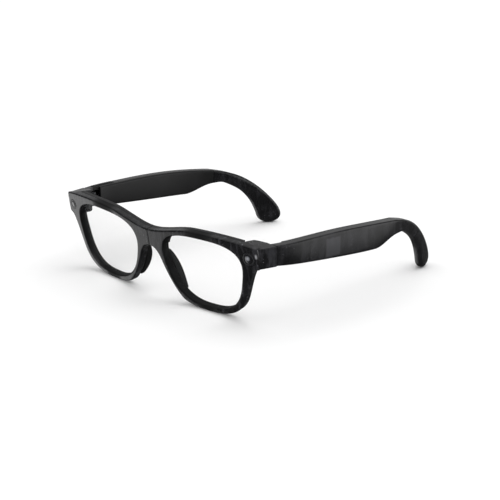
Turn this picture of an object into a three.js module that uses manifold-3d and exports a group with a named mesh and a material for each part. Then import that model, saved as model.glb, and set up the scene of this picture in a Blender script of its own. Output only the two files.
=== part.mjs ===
// Smart glasses: a thick square-eyed plastic frame with a camera, a capture light,
// open-ear speakers, a battery and a main board, all hidden in the brow and the temples.
// Millimetres, +Z up. The front faces -Y, the temples run back along +Y, the wearer's
// left is +X. The glasses stand open on the rims' bottoms and the two temple tips.

import * as THREE from 'three';
import { mergeVertices } from 'three/addons/utils/BufferGeometryUtils.js';
import { TessellateModifier } from 'three/addons/modifiers/TessellateModifier.js';
import Module from 'manifold-3d';

const wasm = await Module();
wasm.setup();

// ---------------------------------------------------------------- driving dimensions

const HALF_LENGTH = 66.3;       // from the frame's origin forward to the bridge's foot

// The front is drawn flat (u across, v up), then wrapped round a tall cylinder and tilted.
const WRAP_RADIUS = 375.6;
const TILT = THREE.MathUtils.degToRad(10.4);
const FRONT_LIFT = -1.27;
const RIM_DEPTH = 4.4;
const FRONT_EDGE_ROUND = 0.7;

const LENS_CENTRE_U = 35;
const LENS_CENTRE_V = 20.75;
const LENS_HALF_WIDTH = 23.95;
const LENS_HALF_HEIGHT = 17.35;
const LENS_SQUARENESS = 2.8;
const LENS_KEYSTONE = 0.19;
const LENS_POINTS = 36;
const LENS_THICKNESS = 1.6;
const LENS_FRONT = 1.5;
const LENS_GRIP = 0.7;

const GAP = 0.3;                // between faces that touch on the real object

const BROW_STEP = 3.1;          // the brow's front skin ends here, the rear cover goes on
const BROW_DEPTH = 5.2;
const BROW_COVER_FOOT = 29.8;
const BROW_COVER_END = 60;

const END_BLOCK_BOTTOM = 28.3;
const END_BLOCK_TOP = 38.2;
const END_BLOCK_REAR = 11.1;

const MODULE_U = 65;
const MODULE_V = 33.5;
const CAMERA_RADIUS = 3.4;
const INDICATOR_RADIUS = 2.5;

const HINGE_X = 65.5;
const HINGE_Y = 13.2;
const HINGE_BOTTOM = 29.5;
const HINGE_TOP = 35.5;
const KNUCKLE_RADIUS = 1.5;
const PIN_RADIUS = 0.6;

// A temple is drawn as a side view (y, z) with a depth t inwards from its outer face.
const TEMPLE_FRONT = 11.4;
const TEMPLE_INNER_FRONT = 18.5;
const HOUSING_END = 97;
const TEMPLE_THICKNESS = 6.6;
const TIP_THICKNESS = 5.6;
const TRAY_DEPTH = 4.7;
const WALL = 1.3;
const WIDEST_X = 73.6;
const WIDEST_Y = 64;

// ------------------------------------------------------------------------- materials

function finish(color, roughness, metalness = 0, extra = {}) {
  return new THREE.MeshStandardMaterial({ color, roughness, metalness, ...extra });
}

const SMOKE_GLOSS = finish(0x26262a, 0.18);
const SMOKE_SATIN = finish(0x3a3a3d, 0.35);
const LENS_CLEAR = finish(0xf6f8fa, 0.04, 0, { transparent: true, opacity: 0.25 });
const WINDOW_DARK = finish(0x0a0a0e, 0.05);
const BLACK_SATIN = finish(0x141416, 0.4);
const STEEL = finish(0x8d8f92, 0.3, 1);
const GOLD = finish(0xc9a24a, 0.25, 1);
const BOARD_GREEN = finish(0x14352a, 0.6);
const FLEX_AMBER = finish(0x6b4a22, 0.5);
const CELL_GREY = finish(0x7b7e82, 0.45);
const MESH_BLACK = finish(0x0c0c0d, 0.7);
const INDICATOR_WHITE = finish(0xe9ecef, 0.3);

// ----------------------------------------------------------------------------- tools

// A closed three.js geometry as a solid that can be cut and joined.
function solid(geometry) {
  const bare = geometry.clone();
  bare.deleteAttribute('normal');
  bare.deleteAttribute('uv');
  const merged = mergeVertices(bare, 1e-4);
  return new wasm.Manifold(new wasm.Mesh({
    numProp: 3,
    vertProperties: new Float32Array(merged.attributes.position.array),
    triVerts: new Uint32Array(merged.index.array),
  }));
}

function geometryOf(body) {
  const mesh = body.getMesh();
  const geometry = new THREE.BufferGeometry();
  geometry.setAttribute('position', new THREE.BufferAttribute(mesh.vertProperties, 3));
  geometry.setIndex(new THREE.BufferAttribute(mesh.triVerts, 1));
  return geometry;
}

function cut(base, ...tools) {
  return geometryOf(tools.reduce((body, tool) => body.subtract(solid(tool)), solid(base)));
}

function join(...pieces) {
  return geometryOf(pieces.slice(1).reduce((body, piece) => body.add(solid(piece)), solid(pieces[0])));
}

function common(one, other) {
  return geometryOf(solid(one).intersect(solid(other)));
}

// Moves each vertex of a merged copy by a function of its place.
function reshape(geometry, move) {
  const bare = geometry.clone();
  bare.deleteAttribute('normal');
  bare.deleteAttribute('uv');
  const shaped = mergeVertices(bare, 1e-4);
  const position = shaped.attributes.position;
  const point = new THREE.Vector3();
  for (let i = 0; i < position.count; i += 1) {
    point.fromBufferAttribute(position, i);
    move(point);
    position.setXYZ(i, point.x, point.y, point.z);
  }
  return shaped;
}

// Splits edges that run far along x, so that a flat face can follow a curve along x.
const SQUEEZE = 1 / 64;
function refine(geometry, longest) {
  const bare = geometry.clone();
  bare.deleteAttribute('normal');
  bare.deleteAttribute('uv');
  const loose = bare.index ? bare.toNonIndexed() : bare;
  loose.scale(1, SQUEEZE, SQUEEZE);
  return new TessellateModifier(longest, 12).modify(loose).scale(1, 1 / SQUEEZE, 1 / SQUEEZE);
}

function mirrored(geometry) {
  const flipped = reshape(geometry, (point) => { point.x = -point.x; });
  const order = flipped.index.array;
  for (let i = 0; i < order.length; i += 3) {
    [order[i], order[i + 1]] = [order[i + 1], order[i]];
  }
  return flipped;
}

// An outline pushed out of the z=0 plane, from one height to another, with rounded edges.
function slab(shape, low, high, round = 0, curveSegments = 8) {
  const geometry = new THREE.ExtrudeGeometry(shape, {
    depth: high - low - 2 * round,
    bevelEnabled: round > 0,
    bevelSize: round,
    bevelOffset: -round,
    bevelThickness: round,
    bevelSegments: 1,
    curveSegments,
  });
  return geometry.translate(0, 0, low + round);
}

function block(low, high) {
  const size = high.map((value, axis) => value - low[axis]);
  const middle = high.map((value, axis) => (value + low[axis]) / 2);
  return new THREE.BoxGeometry(...size).translate(...middle);
}

// A round bar along z.
function bar(radius, low, high, x = 0, y = 0, sides = 16) {
  return new THREE.CylinderGeometry(radius, radius, high - low, sides)
    .rotateX(Math.PI / 2)
    .translate(x, y, (low + high) / 2);
}

function roundedBox(width, height, corner) {
  const shape = new THREE.Shape();
  const x = width / 2 - corner;
  const y = height / 2 - corner;
  shape.absarc(x, y, corner, 0, Math.PI / 2);
  shape.absarc(-x, y, corner, Math.PI / 2, Math.PI);
  shape.absarc(-x, -y, corner, Math.PI, 1.5 * Math.PI);
  shape.absarc(x, -y, corner, 1.5 * Math.PI, 2 * Math.PI);
  return shape;
}

const glasses = new THREE.Group();
const assembly = new THREE.Group();
assembly.position.y = -HALF_LENGTH;
glasses.add(assembly);

function part(name, geometry, material) {
  const bare = geometry.clone();
  bare.deleteAttribute('normal');
  bare.deleteAttribute('uv');
  const merged = mergeVertices(bare, 1e-4);
  merged.computeVertexNormals();
  const mesh = new THREE.Mesh(merged, material);
  mesh.name = name;
  assembly.add(mesh);
  return mesh;
}

// ------------------------------------------------------------------- the curved front

// Flat front coordinates (u, v, minus the depth behind the front face) to the real place.
function ontoFront(point) {
  const angle = point.x / WRAP_RADIUS;
  const radius = WRAP_RADIUS + point.z;
  const back = WRAP_RADIUS - radius * Math.cos(angle);
  const up = point.y;
  point.set(
    radius * Math.sin(angle),
    back * Math.cos(TILT) - up * Math.sin(TILT),
    up * Math.cos(TILT) + back * Math.sin(TILT) + FRONT_LIFT,
  );
}

function wrap(geometry, longest = 9) {
  return reshape(refine(geometry, longest), ontoFront);
}

// Stands a rigid piece, drawn with +z out of the front face, at a place on the front.
function standOnFront(mesh, u, v, depth) {
  const place = new THREE.Vector3(u, v, -depth);
  ontoFront(place);
  mesh.position.copy(place);
  mesh.rotation.set(Math.PI / 2 + TILT, u / WRAP_RADIUS, 0, 'XYZ');
  return mesh;
}

// The eye opening is a squared oval, wider at the top than at the bottom.
function lensPoint(angle) {
  const power = 2 / LENS_SQUARENESS;
  const across = Math.sign(Math.cos(angle)) * Math.abs(Math.cos(angle)) ** power;
  const s = Math.sign(Math.sin(angle)) * Math.abs(Math.sin(angle)) ** power;
  const halfWidth = LENS_HALF_WIDTH * (1 + LENS_KEYSTONE * s);
  const centre = LENS_CENTRE_U - 0.7 * s + 1.1 * s * s;
  return new THREE.Vector2(centre + halfWidth * across, LENS_CENTRE_V + LENS_HALF_HEIGHT * s);
}

// The same oval, moved outwards by a distance, on the left (+1) or right (-1) eye.
function lensLoop(side, outset) {
  const points = [];
  for (let i = 0; i < LENS_POINTS; i += 1) {
    const angle = (i / LENS_POINTS) * 2 * Math.PI;
    const ahead = lensPoint(angle + 0.01);
    const behind = lensPoint(angle - 0.01);
    const outwards = new THREE.Vector2(ahead.y - behind.y, behind.x - ahead.x).normalize();
    const point = lensPoint(angle).addScaledVector(outwards, outset);
    points.push(new THREE.Vector2(side * point.x, point.y));
  }
  return side > 0 ? points : points.reverse();
}

// The front's outer edge, one half, from the bridge's arch round the rim and up to the brow.
const ARCH_TOP = 27.5;
const BROW_AT_BRIDGE = 36.4;
const halfEdge = new THREE.CurvePath();
const v2 = (x, y) => new THREE.Vector2(x, y);
halfEdge.add(new THREE.CubicBezierCurve(v2(0, ARCH_TOP), v2(3.4, ARCH_TOP), v2(5.4, 25.6), v2(7.3, 21.5)));
halfEdge.add(new THREE.CubicBezierCurve(v2(7.3, 21.5), v2(9.6, 16.4), v2(13.2, 9.2), v2(19, 4)));
halfEdge.add(new THREE.CubicBezierCurve(v2(19, 4), v2(21.3, 2.1), v2(28, 0.82), v2(37.9, 0.82)));
halfEdge.add(new THREE.CubicBezierCurve(v2(37.9, 0.82), v2(48.5, 0.82), v2(56.3, 3.2), v2(60, 11.8)));
halfEdge.add(new THREE.CubicBezierCurve(v2(60, 11.8), v2(61.6, 15.4), v2(63.6, 21.8), v2(65.9, 25.8)));
halfEdge.add(new THREE.CubicBezierCurve(v2(65.9, 25.8), v2(66.8, 27.4), v2(68, 28.2), v2(69.7, 28.5)));
halfEdge.add(new THREE.CubicBezierCurve(v2(69.7, 28.5), v2(70.3, 31.5), v2(70.3, 35), v2(70, 38)));
halfEdge.add(new THREE.CubicBezierCurve(v2(70, 38), v2(70, 39), v2(69.6, 39.3), v2(68.8, 39.4)));
const browEdge = new THREE.CurvePath();
browEdge.add(new THREE.CubicBezierCurve(v2(68.8, 39.4), v2(57, 41), v2(42, 41.6), v2(30, 41.1)));
browEdge.add(new THREE.CubicBezierCurve(v2(30, 41.1), v2(20.5, 40.9), v2(9.5, BROW_AT_BRIDGE), v2(0, BROW_AT_BRIDGE)));

// Points along a path, about one every few millimetres and at least two on each curve.
function sample(path, spacing = 4) {
  const points = path.curves.flatMap((curve) => {
    const divisions = Math.max(2, Math.round(curve.getLength() / spacing));
    return curve.getPoints(divisions).slice(0, -1);
  });
  return [...points, path.curves.at(-1).getPoint(1)];
}

function frontOutline() {
  const right = [...sample(halfEdge).slice(0, -1), ...sample(browEdge, 5)];
  const left = right.slice(1, -1).reverse().map((point) => v2(-point.x, point.y));
  return new THREE.Shape([...right, ...left]);
}

// Everything behind the brow's front skin: above the eyes, and above the bridge's foot.
function browRegion(low, high, foot, end, outset) {
  const band = slab(frontOutline(), low, high, 0);
  const eyes = [1, -1].map((side) => slab(new THREE.Shape(lensLoop(side, outset)), low - 1, high + 1));
  const below = block([-90, -10, low - 1], [90, foot, high + 1]);
  const ends = [1, -1].map((side) => block(
    [Math.min(side * end, side * 90), -10, low - 1],
    [Math.max(side * end, side * 90), 60, high + 1],
  ));
  return cut(band, ...eyes, below, ...ends);
}

// A strip that runs along the whole brow, a little below its top edge.
function browStrip(top, bottom, end) {
  const half = sample(browEdge, 5).filter((point) => point.x < end);
  const line = [...half, ...half.slice(0, -1).reverse().map((point) => v2(-point.x, point.y))];
  const upper = line.map((point) => v2(point.x, point.y - top));
  const lower = line.map((point) => v2(point.x, point.y - bottom)).reverse();
  return new THREE.Shape([...upper, ...lower].reverse());
}

// Plan view of the block that carries the hinge, from the front face back to the temple.
function endBlockPlan() {
  const plan = new THREE.Shape();
  plan.moveTo(60, 1.6);
  plan.lineTo(69.2, 1.7);
  plan.quadraticCurveTo(70.5, 6.5, 71.35, END_BLOCK_REAR);
  plan.lineTo(HINGE_X - 0.4, END_BLOCK_REAR);
  plan.quadraticCurveTo(61, 9.2, 60, 6.8);
  return plan;
}

// Its top is level along the outside and climbs inwards to meet the brow.
function endBlock() {
  const raw = slab(endBlockPlan(), END_BLOCK_BOTTOM, END_BLOCK_TOP, 0.5, 4);
  const middle = (END_BLOCK_BOTTOM + END_BLOCK_TOP) / 2;
  return reshape(raw, (point) => {
    const inwards = Math.max(0, 69.5 - point.x);
    const slope = THREE.MathUtils.mapLinear(Math.max(point.y, 4.5), 4.5, END_BLOCK_REAR, 0.2, 0.1);
    point.z += point.z > middle ? slope * inwards : 0;
  });
}

// A stepped bore, drawn along z with its mouth at z=0.
function moduleBore(wide, narrow, step, depth) {
  return join(bar(wide, -step, 2, 0, 0, 20), bar(narrow, -depth, 1));
}

function placedOnFront(geometry, u, v, depth) {
  const mesh = standOnFront(new THREE.Mesh(geometry), u, v, depth);
  mesh.updateMatrix();
  return geometry.clone().applyMatrix4(mesh.matrix);
}

// Behind its front edge the brow's outer end stays level instead of climbing with the tilt.
function levelEnds(geometry) {
  return reshape(geometry, (point) => {
    const outwards = THREE.MathUtils.smoothstep(Math.abs(point.x), 62, 69.5);
    const upwards = THREE.MathUtils.clamp((point.y - 33) / 5, 0, 1);
    point.y += point.z * Math.tan(TILT) * outwards * upwards;
  });
}

const BEZEL_STEP = 1.2;
const BORE_DEPTH = 6.4;

function frontFrame() {
  let rims = slab(frontOutline(), -RIM_DEPTH, 0, FRONT_EDGE_ROUND);
  for (const side of [1, -1]) {
    const opening = slab(new THREE.Shape(lensLoop(side, 0)), -RIM_DEPTH - 1, 1);
    const grooveRear = -LENS_FRONT - LENS_THICKNESS - GAP;
    const groove = slab(new THREE.Shape(lensLoop(side, LENS_GRIP + GAP)), grooveRear, -LENS_FRONT + GAP);
    rims = cut(rims, opening, groove);
  }
  const step = browRegion(-RIM_DEPTH - 1, -BROW_STEP, BROW_COVER_FOOT - GAP, BROW_COVER_END + GAP, -1);
  const front = wrap(levelEnds(cut(rims, step)));

  const blocks = [endBlock(), mirrored(endBlock())];
  const pocket = block(
    [HINGE_X - 1.6 - GAP, END_BLOCK_REAR - 3.8, HINGE_BOTTOM - GAP],
    [HINGE_X + 1.3 + GAP, END_BLOCK_REAR + 5, HINGE_TOP + GAP],
  );
  const cameraBore = moduleBore(CAMERA_RADIUS + GAP, 2.5, BEZEL_STEP, BORE_DEPTH);
  const indicatorBore = moduleBore(INDICATOR_RADIUS + GAP, 2, BEZEL_STEP, BORE_DEPTH);
  return cut(
    join(front, ...blocks),
    pocket,
    mirrored(pocket),
    placedOnFront(cameraBore, MODULE_U, MODULE_V, 0),
    placedOnFront(indicatorBore, -MODULE_U, MODULE_V, 0),
  );
}

const CONTACT_U = 3.7;
const CONTACT_V = 32.4;
const CONTACT_RADIUS = 1.1;
const CHANNEL_ROOF = 4.5;

function rearBrowCover() {
  const low = -BROW_DEPTH;
  const high = -BROW_STEP - GAP;
  const raw = browRegion(low, high, BROW_COVER_FOOT, BROW_COVER_END, 0.2);
  const channel = slab(browStrip(0.65, 2, 59), -CHANNEL_ROOF, high + 1);
  const microphonePocket = block([-1.6, 31, -CHANNEL_ROOF], [1.6, 33.6, high + 1]);
  const port = bar(0.45, -9, -4, 0, 32.3, 12);
  const seat = bar(CONTACT_RADIUS + GAP, -3, 0);
  const seats = [CONTACT_U, -CONTACT_U].map((u) => placedOnFront(seat, u, CONTACT_V, BROW_DEPTH - 1.1));
  return cut(wrap(cut(raw, channel, microphonePocket)), placedOnFront(port, 0, 0, 0), ...seats);
}

// A crescent behind the rim's nasal edge, deepest at half height and thin at both ends.
const PAD_MIDDLE = 15.5;
const PAD_REACH = 12;
const PAD_DEPTH = 3.7;

function nosePad(side) {
  const pad = new THREE.Shape();
  pad.moveTo(6.8, 24.8);
  pad.bezierCurveTo(8.9, 17.6, 12.4, 10.2, 16, 6.5);
  pad.quadraticCurveTo(17.4, 5.8, 17.4, 7.2);
  pad.bezierCurveTo(14.2, 11.2, 11.3, 18.2, 9.2, 25.4);
  pad.quadraticCurveTo(7.4, 26.6, 6.8, 24.8);
  const front = -RIM_DEPTH - GAP;
  const raw = slab(pad, front - PAD_DEPTH, front, 0.5, 6);
  const crescent = reshape(raw, (point) => {
    const bulge = 1 - ((point.y - PAD_MIDDLE) / PAD_REACH) ** 2;
    point.z = front + (point.z - front) * Math.max(0.2, bulge);
  });
  const placed = reshape(crescent, ontoFront);
  return side > 0 ? placed : mirrored(placed);
}

part('front_frame', frontFrame(), SMOKE_GLOSS);
part('rear_brow_cover', rearBrowCover(), SMOKE_SATIN);
for (const [label, side] of [['left', 1], ['right', -1]]) {
  const plate = slab(new THREE.Shape(lensLoop(side, LENS_GRIP)), -LENS_FRONT - LENS_THICKNESS, -LENS_FRONT);
  part(`lens_${label}`, wrap(plate, 12), LENS_CLEAR);
  part(`nose_pad_${label}`, nosePad(side), SMOKE_GLOSS);
}

// The flex circuit that joins the two end blocks, and what sits in the bridge.
part('front_flex', wrap(slab(browStrip(0.95, 1.7, 58), -4.1, -3.75)), FLEX_AMBER);
const bridgeMicrophone = slab(roundedBox(2.4, 1.8, 0.3), -0.8, 0, 0, 3);
standOnFront(part('bridge_microphone', bridgeMicrophone, STEEL), 0, 32.3, 3.5);
for (const [label, side] of [['left', 1], ['right', -1]]) {
  const contact = bar(CONTACT_RADIUS, -0.9, 0);
  const mesh = part(`charge_contact_${label}`, contact, GOLD);
  standOnFront(mesh, side * CONTACT_U, CONTACT_V, BROW_DEPTH - 0.8);
}

// ----------------------------------------------------- camera and capture-light modules

function ring(outer, inner, low, high, soften) {
  const profile = [
    v2(inner, low),
    v2(outer, low),
    v2(outer, high - soften),
    v2(outer - soften, high),
    v2(inner + soften, high),
    v2(inner, high - soften),
    v2(inner, low),
  ];
  return new THREE.LatheGeometry(profile, 20).rotateX(Math.PI / 2);
}

// A window that bulges a little, closed on its axis.
function domedWindow(radius, thickness, bulge) {
  const profile = [v2(0, -thickness), v2(radius, -thickness), v2(radius, 0)];
  for (let i = 1; i <= 3; i += 1) {
    const angle = (i / 3) * (Math.PI / 2);
    profile.push(v2(radius * Math.cos(angle), bulge * Math.sin(angle)));
  }
  profile[profile.length - 1].x = 0;
  const turned = new THREE.LatheGeometry(profile, 16).rotateX(Math.PI / 2);
  return geometryOf(solid(turned));
}

function module(prefix, side, radius, windowRadius, barrelRadius) {
  const u = side * MODULE_U;
  const bezel = ring(radius, windowRadius + GAP, -0.85, 0.1, 0.25);
  standOnFront(part(`${prefix}_bezel`, bezel, BLACK_SATIN), u, MODULE_V, 0);
  const pane = domedWindow(windowRadius, 0.8, 0.35);
  standOnFront(part(`${prefix}_window`, pane, WINDOW_DARK), u, MODULE_V, 0);
  return { u, barrel: bar(barrelRadius, -2.6, 0) };
}

const camera = module('camera', 1, CAMERA_RADIUS, 2.2, 2.2);
standOnFront(part('camera_lens_barrel', camera.barrel, BLACK_SATIN), camera.u, MODULE_V, 1.5);
const sensorBoard = slab(roundedBox(3.1, 3.1, 0.4), -0.9, 0, 0, 3);
standOnFront(part('camera_sensor_board', sensorBoard, BOARD_GREEN), camera.u, MODULE_V, 4.5);

const indicator = module('indicator', -1, INDICATOR_RADIUS, 1.6, 1.7);
standOnFront(part('indicator_light_guide', indicator.barrel, INDICATOR_WHITE), indicator.u, MODULE_V, 1.5);
const ledBoard = slab(roundedBox(2.4, 2.4, 0.3), -0.9, 0, 0, 3);
standOnFront(part('indicator_led_board', ledBoard, BOARD_GREEN), indicator.u, MODULE_V, 4.5);

// ---------------------------------------------------------------------------- temples

// The outer face bows: it starts inwards at the hinge and curves in behind the ear.
const FLARE_END = 26;
const outerX = (y) => (
  WIDEST_X
  - (y < WIDEST_Y ? 0.0003 : 0.0029) * (y - WIDEST_Y) ** 2
  - 0.0065 * Math.max(0, FLARE_END - y) ** 2
);
const thicknessAt = (y) => (
  TEMPLE_THICKNESS - (TEMPLE_THICKNESS - TIP_THICKNESS) * THREE.MathUtils.smoothstep(y, 108, 130)
);

const TOP_LEVEL = 38.25;
const TOP_FALL_START = 40;
const topAt = (y) => TOP_LEVEL - 0.0011 * Math.max(0, y - TOP_FALL_START) ** 2;

const WAVE_START = 79;
function bottomAt(y) {
  const along = Math.min(y, WAVE_START) - TEMPLE_FRONT;
  const taper = 28.4 - 0.092 * along + 0.0003 * along ** 2;
  return taper + 3.8 * THREE.MathUtils.smoothstep(y, WAVE_START, HOUSING_END);
}

// Side view coordinates (y, z, minus the depth from the outer face) to the left temple.
function ontoTemple(point) {
  const y = point.x;
  const depth = -point.z * (thicknessAt(y) / TEMPLE_THICKNESS);
  point.set(outerX(y) - depth, y, point.y);
}

function bendTemple(geometry, side) {
  const bent = reshape(refine(geometry, 10), ontoTemple);
  return side > 0 ? bent : mirrored(bent);
}

// A stretch of the temple's side view, pulled in from its edges.
function stretch(from, to, inset) {
  const count = Math.max(1, Math.ceil((to - from) / 7));
  const stations = Array.from({ length: count + 1 }, (_, i) => from + ((to - from) * i) / count);
  const lower = stations.map((y) => v2(y, bottomAt(y) + inset));
  const upper = stations.map((y) => v2(y, topAt(y) - inset)).reverse();
  return [...lower, ...upper];
}

// Behind the ear the temple bends down into a long rounded hook.
function templeOutline() {
  const hook = new THREE.SplineCurve([
    v2(HOUSING_END, bottomAt(HOUSING_END)),
    v2(103, 27.1),
    v2(110, 24.3),
    v2(117.3, 19.7),
    v2(122.6, 13.8),
    v2(125.8, 7.6),
    v2(127.8, 2.6),
    v2(131.5, 0.11),
    v2(136.4, 0.7),
    v2(139.1, 3.8),
    v2(138, 8.4),
    v2(134.2, 13.8),
    v2(128.6, 19.7),
    v2(122, 25),
    v2(114.6, 29.3),
    v2(106, 32.5),
    v2(HOUSING_END, topAt(HOUSING_END)),
  ]).getPoints(26);
  const front = stretch(TEMPLE_FRONT, HOUSING_END, 0);
  const half = front.length / 2;
  return new THREE.Shape([...front.slice(0, half), ...hook.slice(1, -1), ...front.slice(half)]);
}

const HINGE_BLOCK_END = 28;
const ROOF_BOTTOM = 36.6;
const BUTTON_FRONT = 14.8;
const BUTTON_BACK = 29.4;

const SCREW_YS = [21.5, 25];
const SCREW_Z = 32.5;

function templeOuter(side) {
  const whole = slab(templeOutline(), -TEMPLE_THICKNESS, 0, 0.9);
  const coverSeat = slab(new THREE.Shape([
    v2(0, 0),
    v2(HOUSING_END, 0),
    v2(HOUSING_END, 60),
    v2(0, 60),
  ]), -TEMPLE_THICKNESS - 1, -TRAY_DEPTH);
  const tray = slab(new THREE.Shape(stretch(HINGE_BLOCK_END, 95.5, WALL)), -TRAY_DEPTH - 1, -1.4);
  const leafSeat = slab(new THREE.Shape(stretch(TEMPLE_INNER_FRONT, HINGE_BLOCK_END + 1, WALL)), -9, -3.2);
  const notch = block([0, 0, -9], [TEMPLE_INNER_FRONT, ROOF_BOTTOM, -3.2]);
  const screwHoles = SCREW_YS.map((y) => bar(0.8, -4, -1.5, y, SCREW_Z, 12));
  const slots = [83.6, 86].map((y) => block([y, 0, -3.9], [y + 1.6, 29, -2.7]));
  const openings = [coverSeat, tray, leafSeat, notch, ...screwHoles, ...slots];
  if (side < 0) {
    openings.push(block(
      [BUTTON_FRONT - GAP, 34.8, -4.7 - GAP],
      [BUTTON_BACK + GAP, 45, -1.2 + GAP],
    ));
  }
  return bendTemple(cut(whole, ...openings), side);
}

const SLIDER_FRONT = 33;
const SLIDER_LENGTH = 5;
const SLIDER_TRAVEL = 2.4;
const SLIDER_LEVEL = 33;

function templeInner(side) {
  const outline = new THREE.Shape(stretch(TEMPLE_INNER_FRONT, HOUSING_END - GAP, 0));
  const cover = slab(outline, -TEMPLE_THICKNESS - 1, -TRAY_DEPTH - GAP);
  const rounded = common(cover, slab(templeOutline(), -TEMPLE_THICKNESS, 0, 0.9));
  const hollow = slab(new THREE.Shape(stretch(TEMPLE_INNER_FRONT - 1, 95, WALL)), -5.5, 0);
  const openings = [hollow];
  if (side > 0) {
    openings.push(block(
      [SLIDER_FRONT - GAP, SLIDER_LEVEL - 1.2 - GAP, -9],
      [SLIDER_FRONT + SLIDER_LENGTH + SLIDER_TRAVEL + GAP, SLIDER_LEVEL + 1.2 + GAP, 0],
    ));
  }
  return bendTemple(cut(rounded, ...openings), side);
}

// A rigid box inside the temple: y range, z range and depth range from the outer face.
function inTemple(name, material, side, yRange, zRange, depthRange, corner = 0.4) {
  const [length, height, thickness] = [yRange, zRange, depthRange].map(([low, high]) => high - low);
  const middle = (yRange[0] + yRange[1]) / 2;
  const lean = Math.atan2(outerX(yRange[1]) - outerX(yRange[0]), length);
  const chordX = (outerX(yRange[0]) + outerX(yRange[1])) / 2;
  const box = slab(roundedBox(length, height, corner), -thickness / 2, thickness / 2, 0, 3);
  box.rotateX(Math.PI / 2).rotateZ(Math.PI / 2);
  const mesh = part(name, box, material);
  mesh.position.set(side * (chordX - depthRange[0] - thickness / 2), middle, (zRange[0] + zRange[1]) / 2);
  mesh.rotation.z = -side * lean;
  return mesh;
}

function frontLeaf(side) {
  const knuckles = [
    [HINGE_BOTTOM, HINGE_BOTTOM + 1.9],
    [HINGE_TOP - 1.9, HINGE_TOP],
  ].flatMap(([low, high]) => [
    bar(KNUCKLE_RADIUS, low, high, HINGE_X, HINGE_Y),
    block([HINGE_X - 1.4, END_BLOCK_REAR - 1.5, low], [HINGE_X + 1.1, HINGE_Y, high]),
  ]);
  const root = block(
    [HINGE_X - 1.6, END_BLOCK_REAR - 3.5, HINGE_BOTTOM],
    [HINGE_X + 1.3, END_BLOCK_REAR - 0.6, HINGE_TOP],
  );
  const leaf = cut(join(root, ...knuckles), bar(PIN_RADIUS + 0.15, 20, 45, HINGE_X, HINGE_Y));
  return side > 0 ? leaf : mirrored(leaf);
}

// The temple's leaf, seen from above: out of the middle knuckle, then back along the wall.
const LEAF_PLATE_START = 19.6;
const LEAF_PLATE_END = 26.8;
const LEAF_PLATE_INNER = 68.4;

function templeLeaf(side) {
  const low = HINGE_BOTTOM + 2.2;
  const high = HINGE_TOP - 2.2;
  const arm = slab(new THREE.Shape([
    v2(HINGE_X, 12),
    v2(67.9, 12),
    v2(68, 14),
    v2(69.15, 19),
    v2(69.2, LEAF_PLATE_START + 0.5),
    v2(68.3, LEAF_PLATE_START + 0.5),
    v2(68.2, 19.3),
    v2(67, 14.5),
    v2(HINGE_X, 14.5),
  ]), low, high);
  const plate = slab(new THREE.Shape([
    v2(69.2, LEAF_PLATE_START),
    v2(69.6, LEAF_PLATE_END),
    v2(68.7, LEAF_PLATE_END),
    v2(68.3, LEAF_PLATE_START),
  ]), SCREW_Z - 2, SCREW_Z + 2);
  const holes = SCREW_YS.map((y) => (
    bar(0.85, 66, 72, 0, 0, 12).rotateY(Math.PI / 2).translate(0, y, SCREW_Z)
  ));
  const body = join(bar(KNUCKLE_RADIUS, low, high, HINGE_X, HINGE_Y), arm, plate);
  const leaf = cut(body, bar(PIN_RADIUS + 0.15, 20, 45, HINGE_X, HINGE_Y), ...holes);
  return side > 0 ? leaf : mirrored(leaf);
}

function hingePin(side) {
  const shank = bar(PIN_RADIUS, HINGE_BOTTOM - 0.1, HINGE_TOP + 0.5, HINGE_X, HINGE_Y);
  const head = bar(1.1, HINGE_TOP + 0.25, HINGE_TOP + 0.8, HINGE_X, HINGE_Y);
  const slot = block(
    [HINGE_X - 2, HINGE_Y - 0.15, HINGE_TOP + 0.6],
    [HINGE_X + 2, HINGE_Y + 0.15, HINGE_TOP + 2],
  );
  const pin = cut(join(shank, head), slot);
  return side > 0 ? pin : mirrored(pin);
}

function leafScrew(side, y) {
  const shank = bar(0.5, LEAF_PLATE_INNER - 0.5, LEAF_PLATE_INNER + 2.6, 0, 0, 12);
  const head = bar(1, LEAF_PLATE_INNER - 0.75, LEAF_PLATE_INNER - 0.35, 0, 0, 12);
  const screw = join(shank, head).rotateY(Math.PI / 2).translate(0, y, SCREW_Z);
  return side > 0 ? screw : mirrored(screw);
}

for (const [label, side] of [['left', 1], ['right', -1]]) {
  part(`temple_outer_${label}`, templeOuter(side), SMOKE_GLOSS);
  part(`temple_inner_cover_${label}`, templeInner(side), SMOKE_SATIN);
  part(`hinge_front_leaf_${label}`, frontLeaf(side), STEEL);
  part(`hinge_temple_leaf_${label}`, templeLeaf(side), STEEL);
  part(`hinge_pin_${label}`, hingePin(side), STEEL);
  SCREW_YS.forEach((y, i) => part(`leaf_screw_${label}_${i + 1}`, leafScrew(side, y), STEEL));
  inTemple(`speaker_${label}`, BLACK_SATIN, side, [82.5, 94], [28.6, 33.2], [1.8, 4.2], 1);
  inTemple(`speaker_mesh_${label}`, MESH_BLACK, side, [83, 88], [27.2, 27.5], [2.3, 4.2], 0.05);
  inTemple(`temple_microphone_${label}`, STEEL, side, [77.6, 80.8], [31, 33.4], [1.8, 2.9]);
}

// The left temple holds the cell, its charging board and the power switch.
inTemple('battery', CELL_GREY, 1, [43, 76], [27.6, 35.1], [1.8, 4.9], 1);
inTemple('power_board', BOARD_GREEN, 1, [29.6, 42], [29, 36], [1.8, 2.5]);
const switchY = [SLIDER_FRONT - 1, SLIDER_FRONT + 8];
inTemple('slide_switch', STEEL, 1, switchY, [SLIDER_LEVEL - 1.6, SLIDER_LEVEL + 1.6], [2.8, 4.4]);

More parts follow.
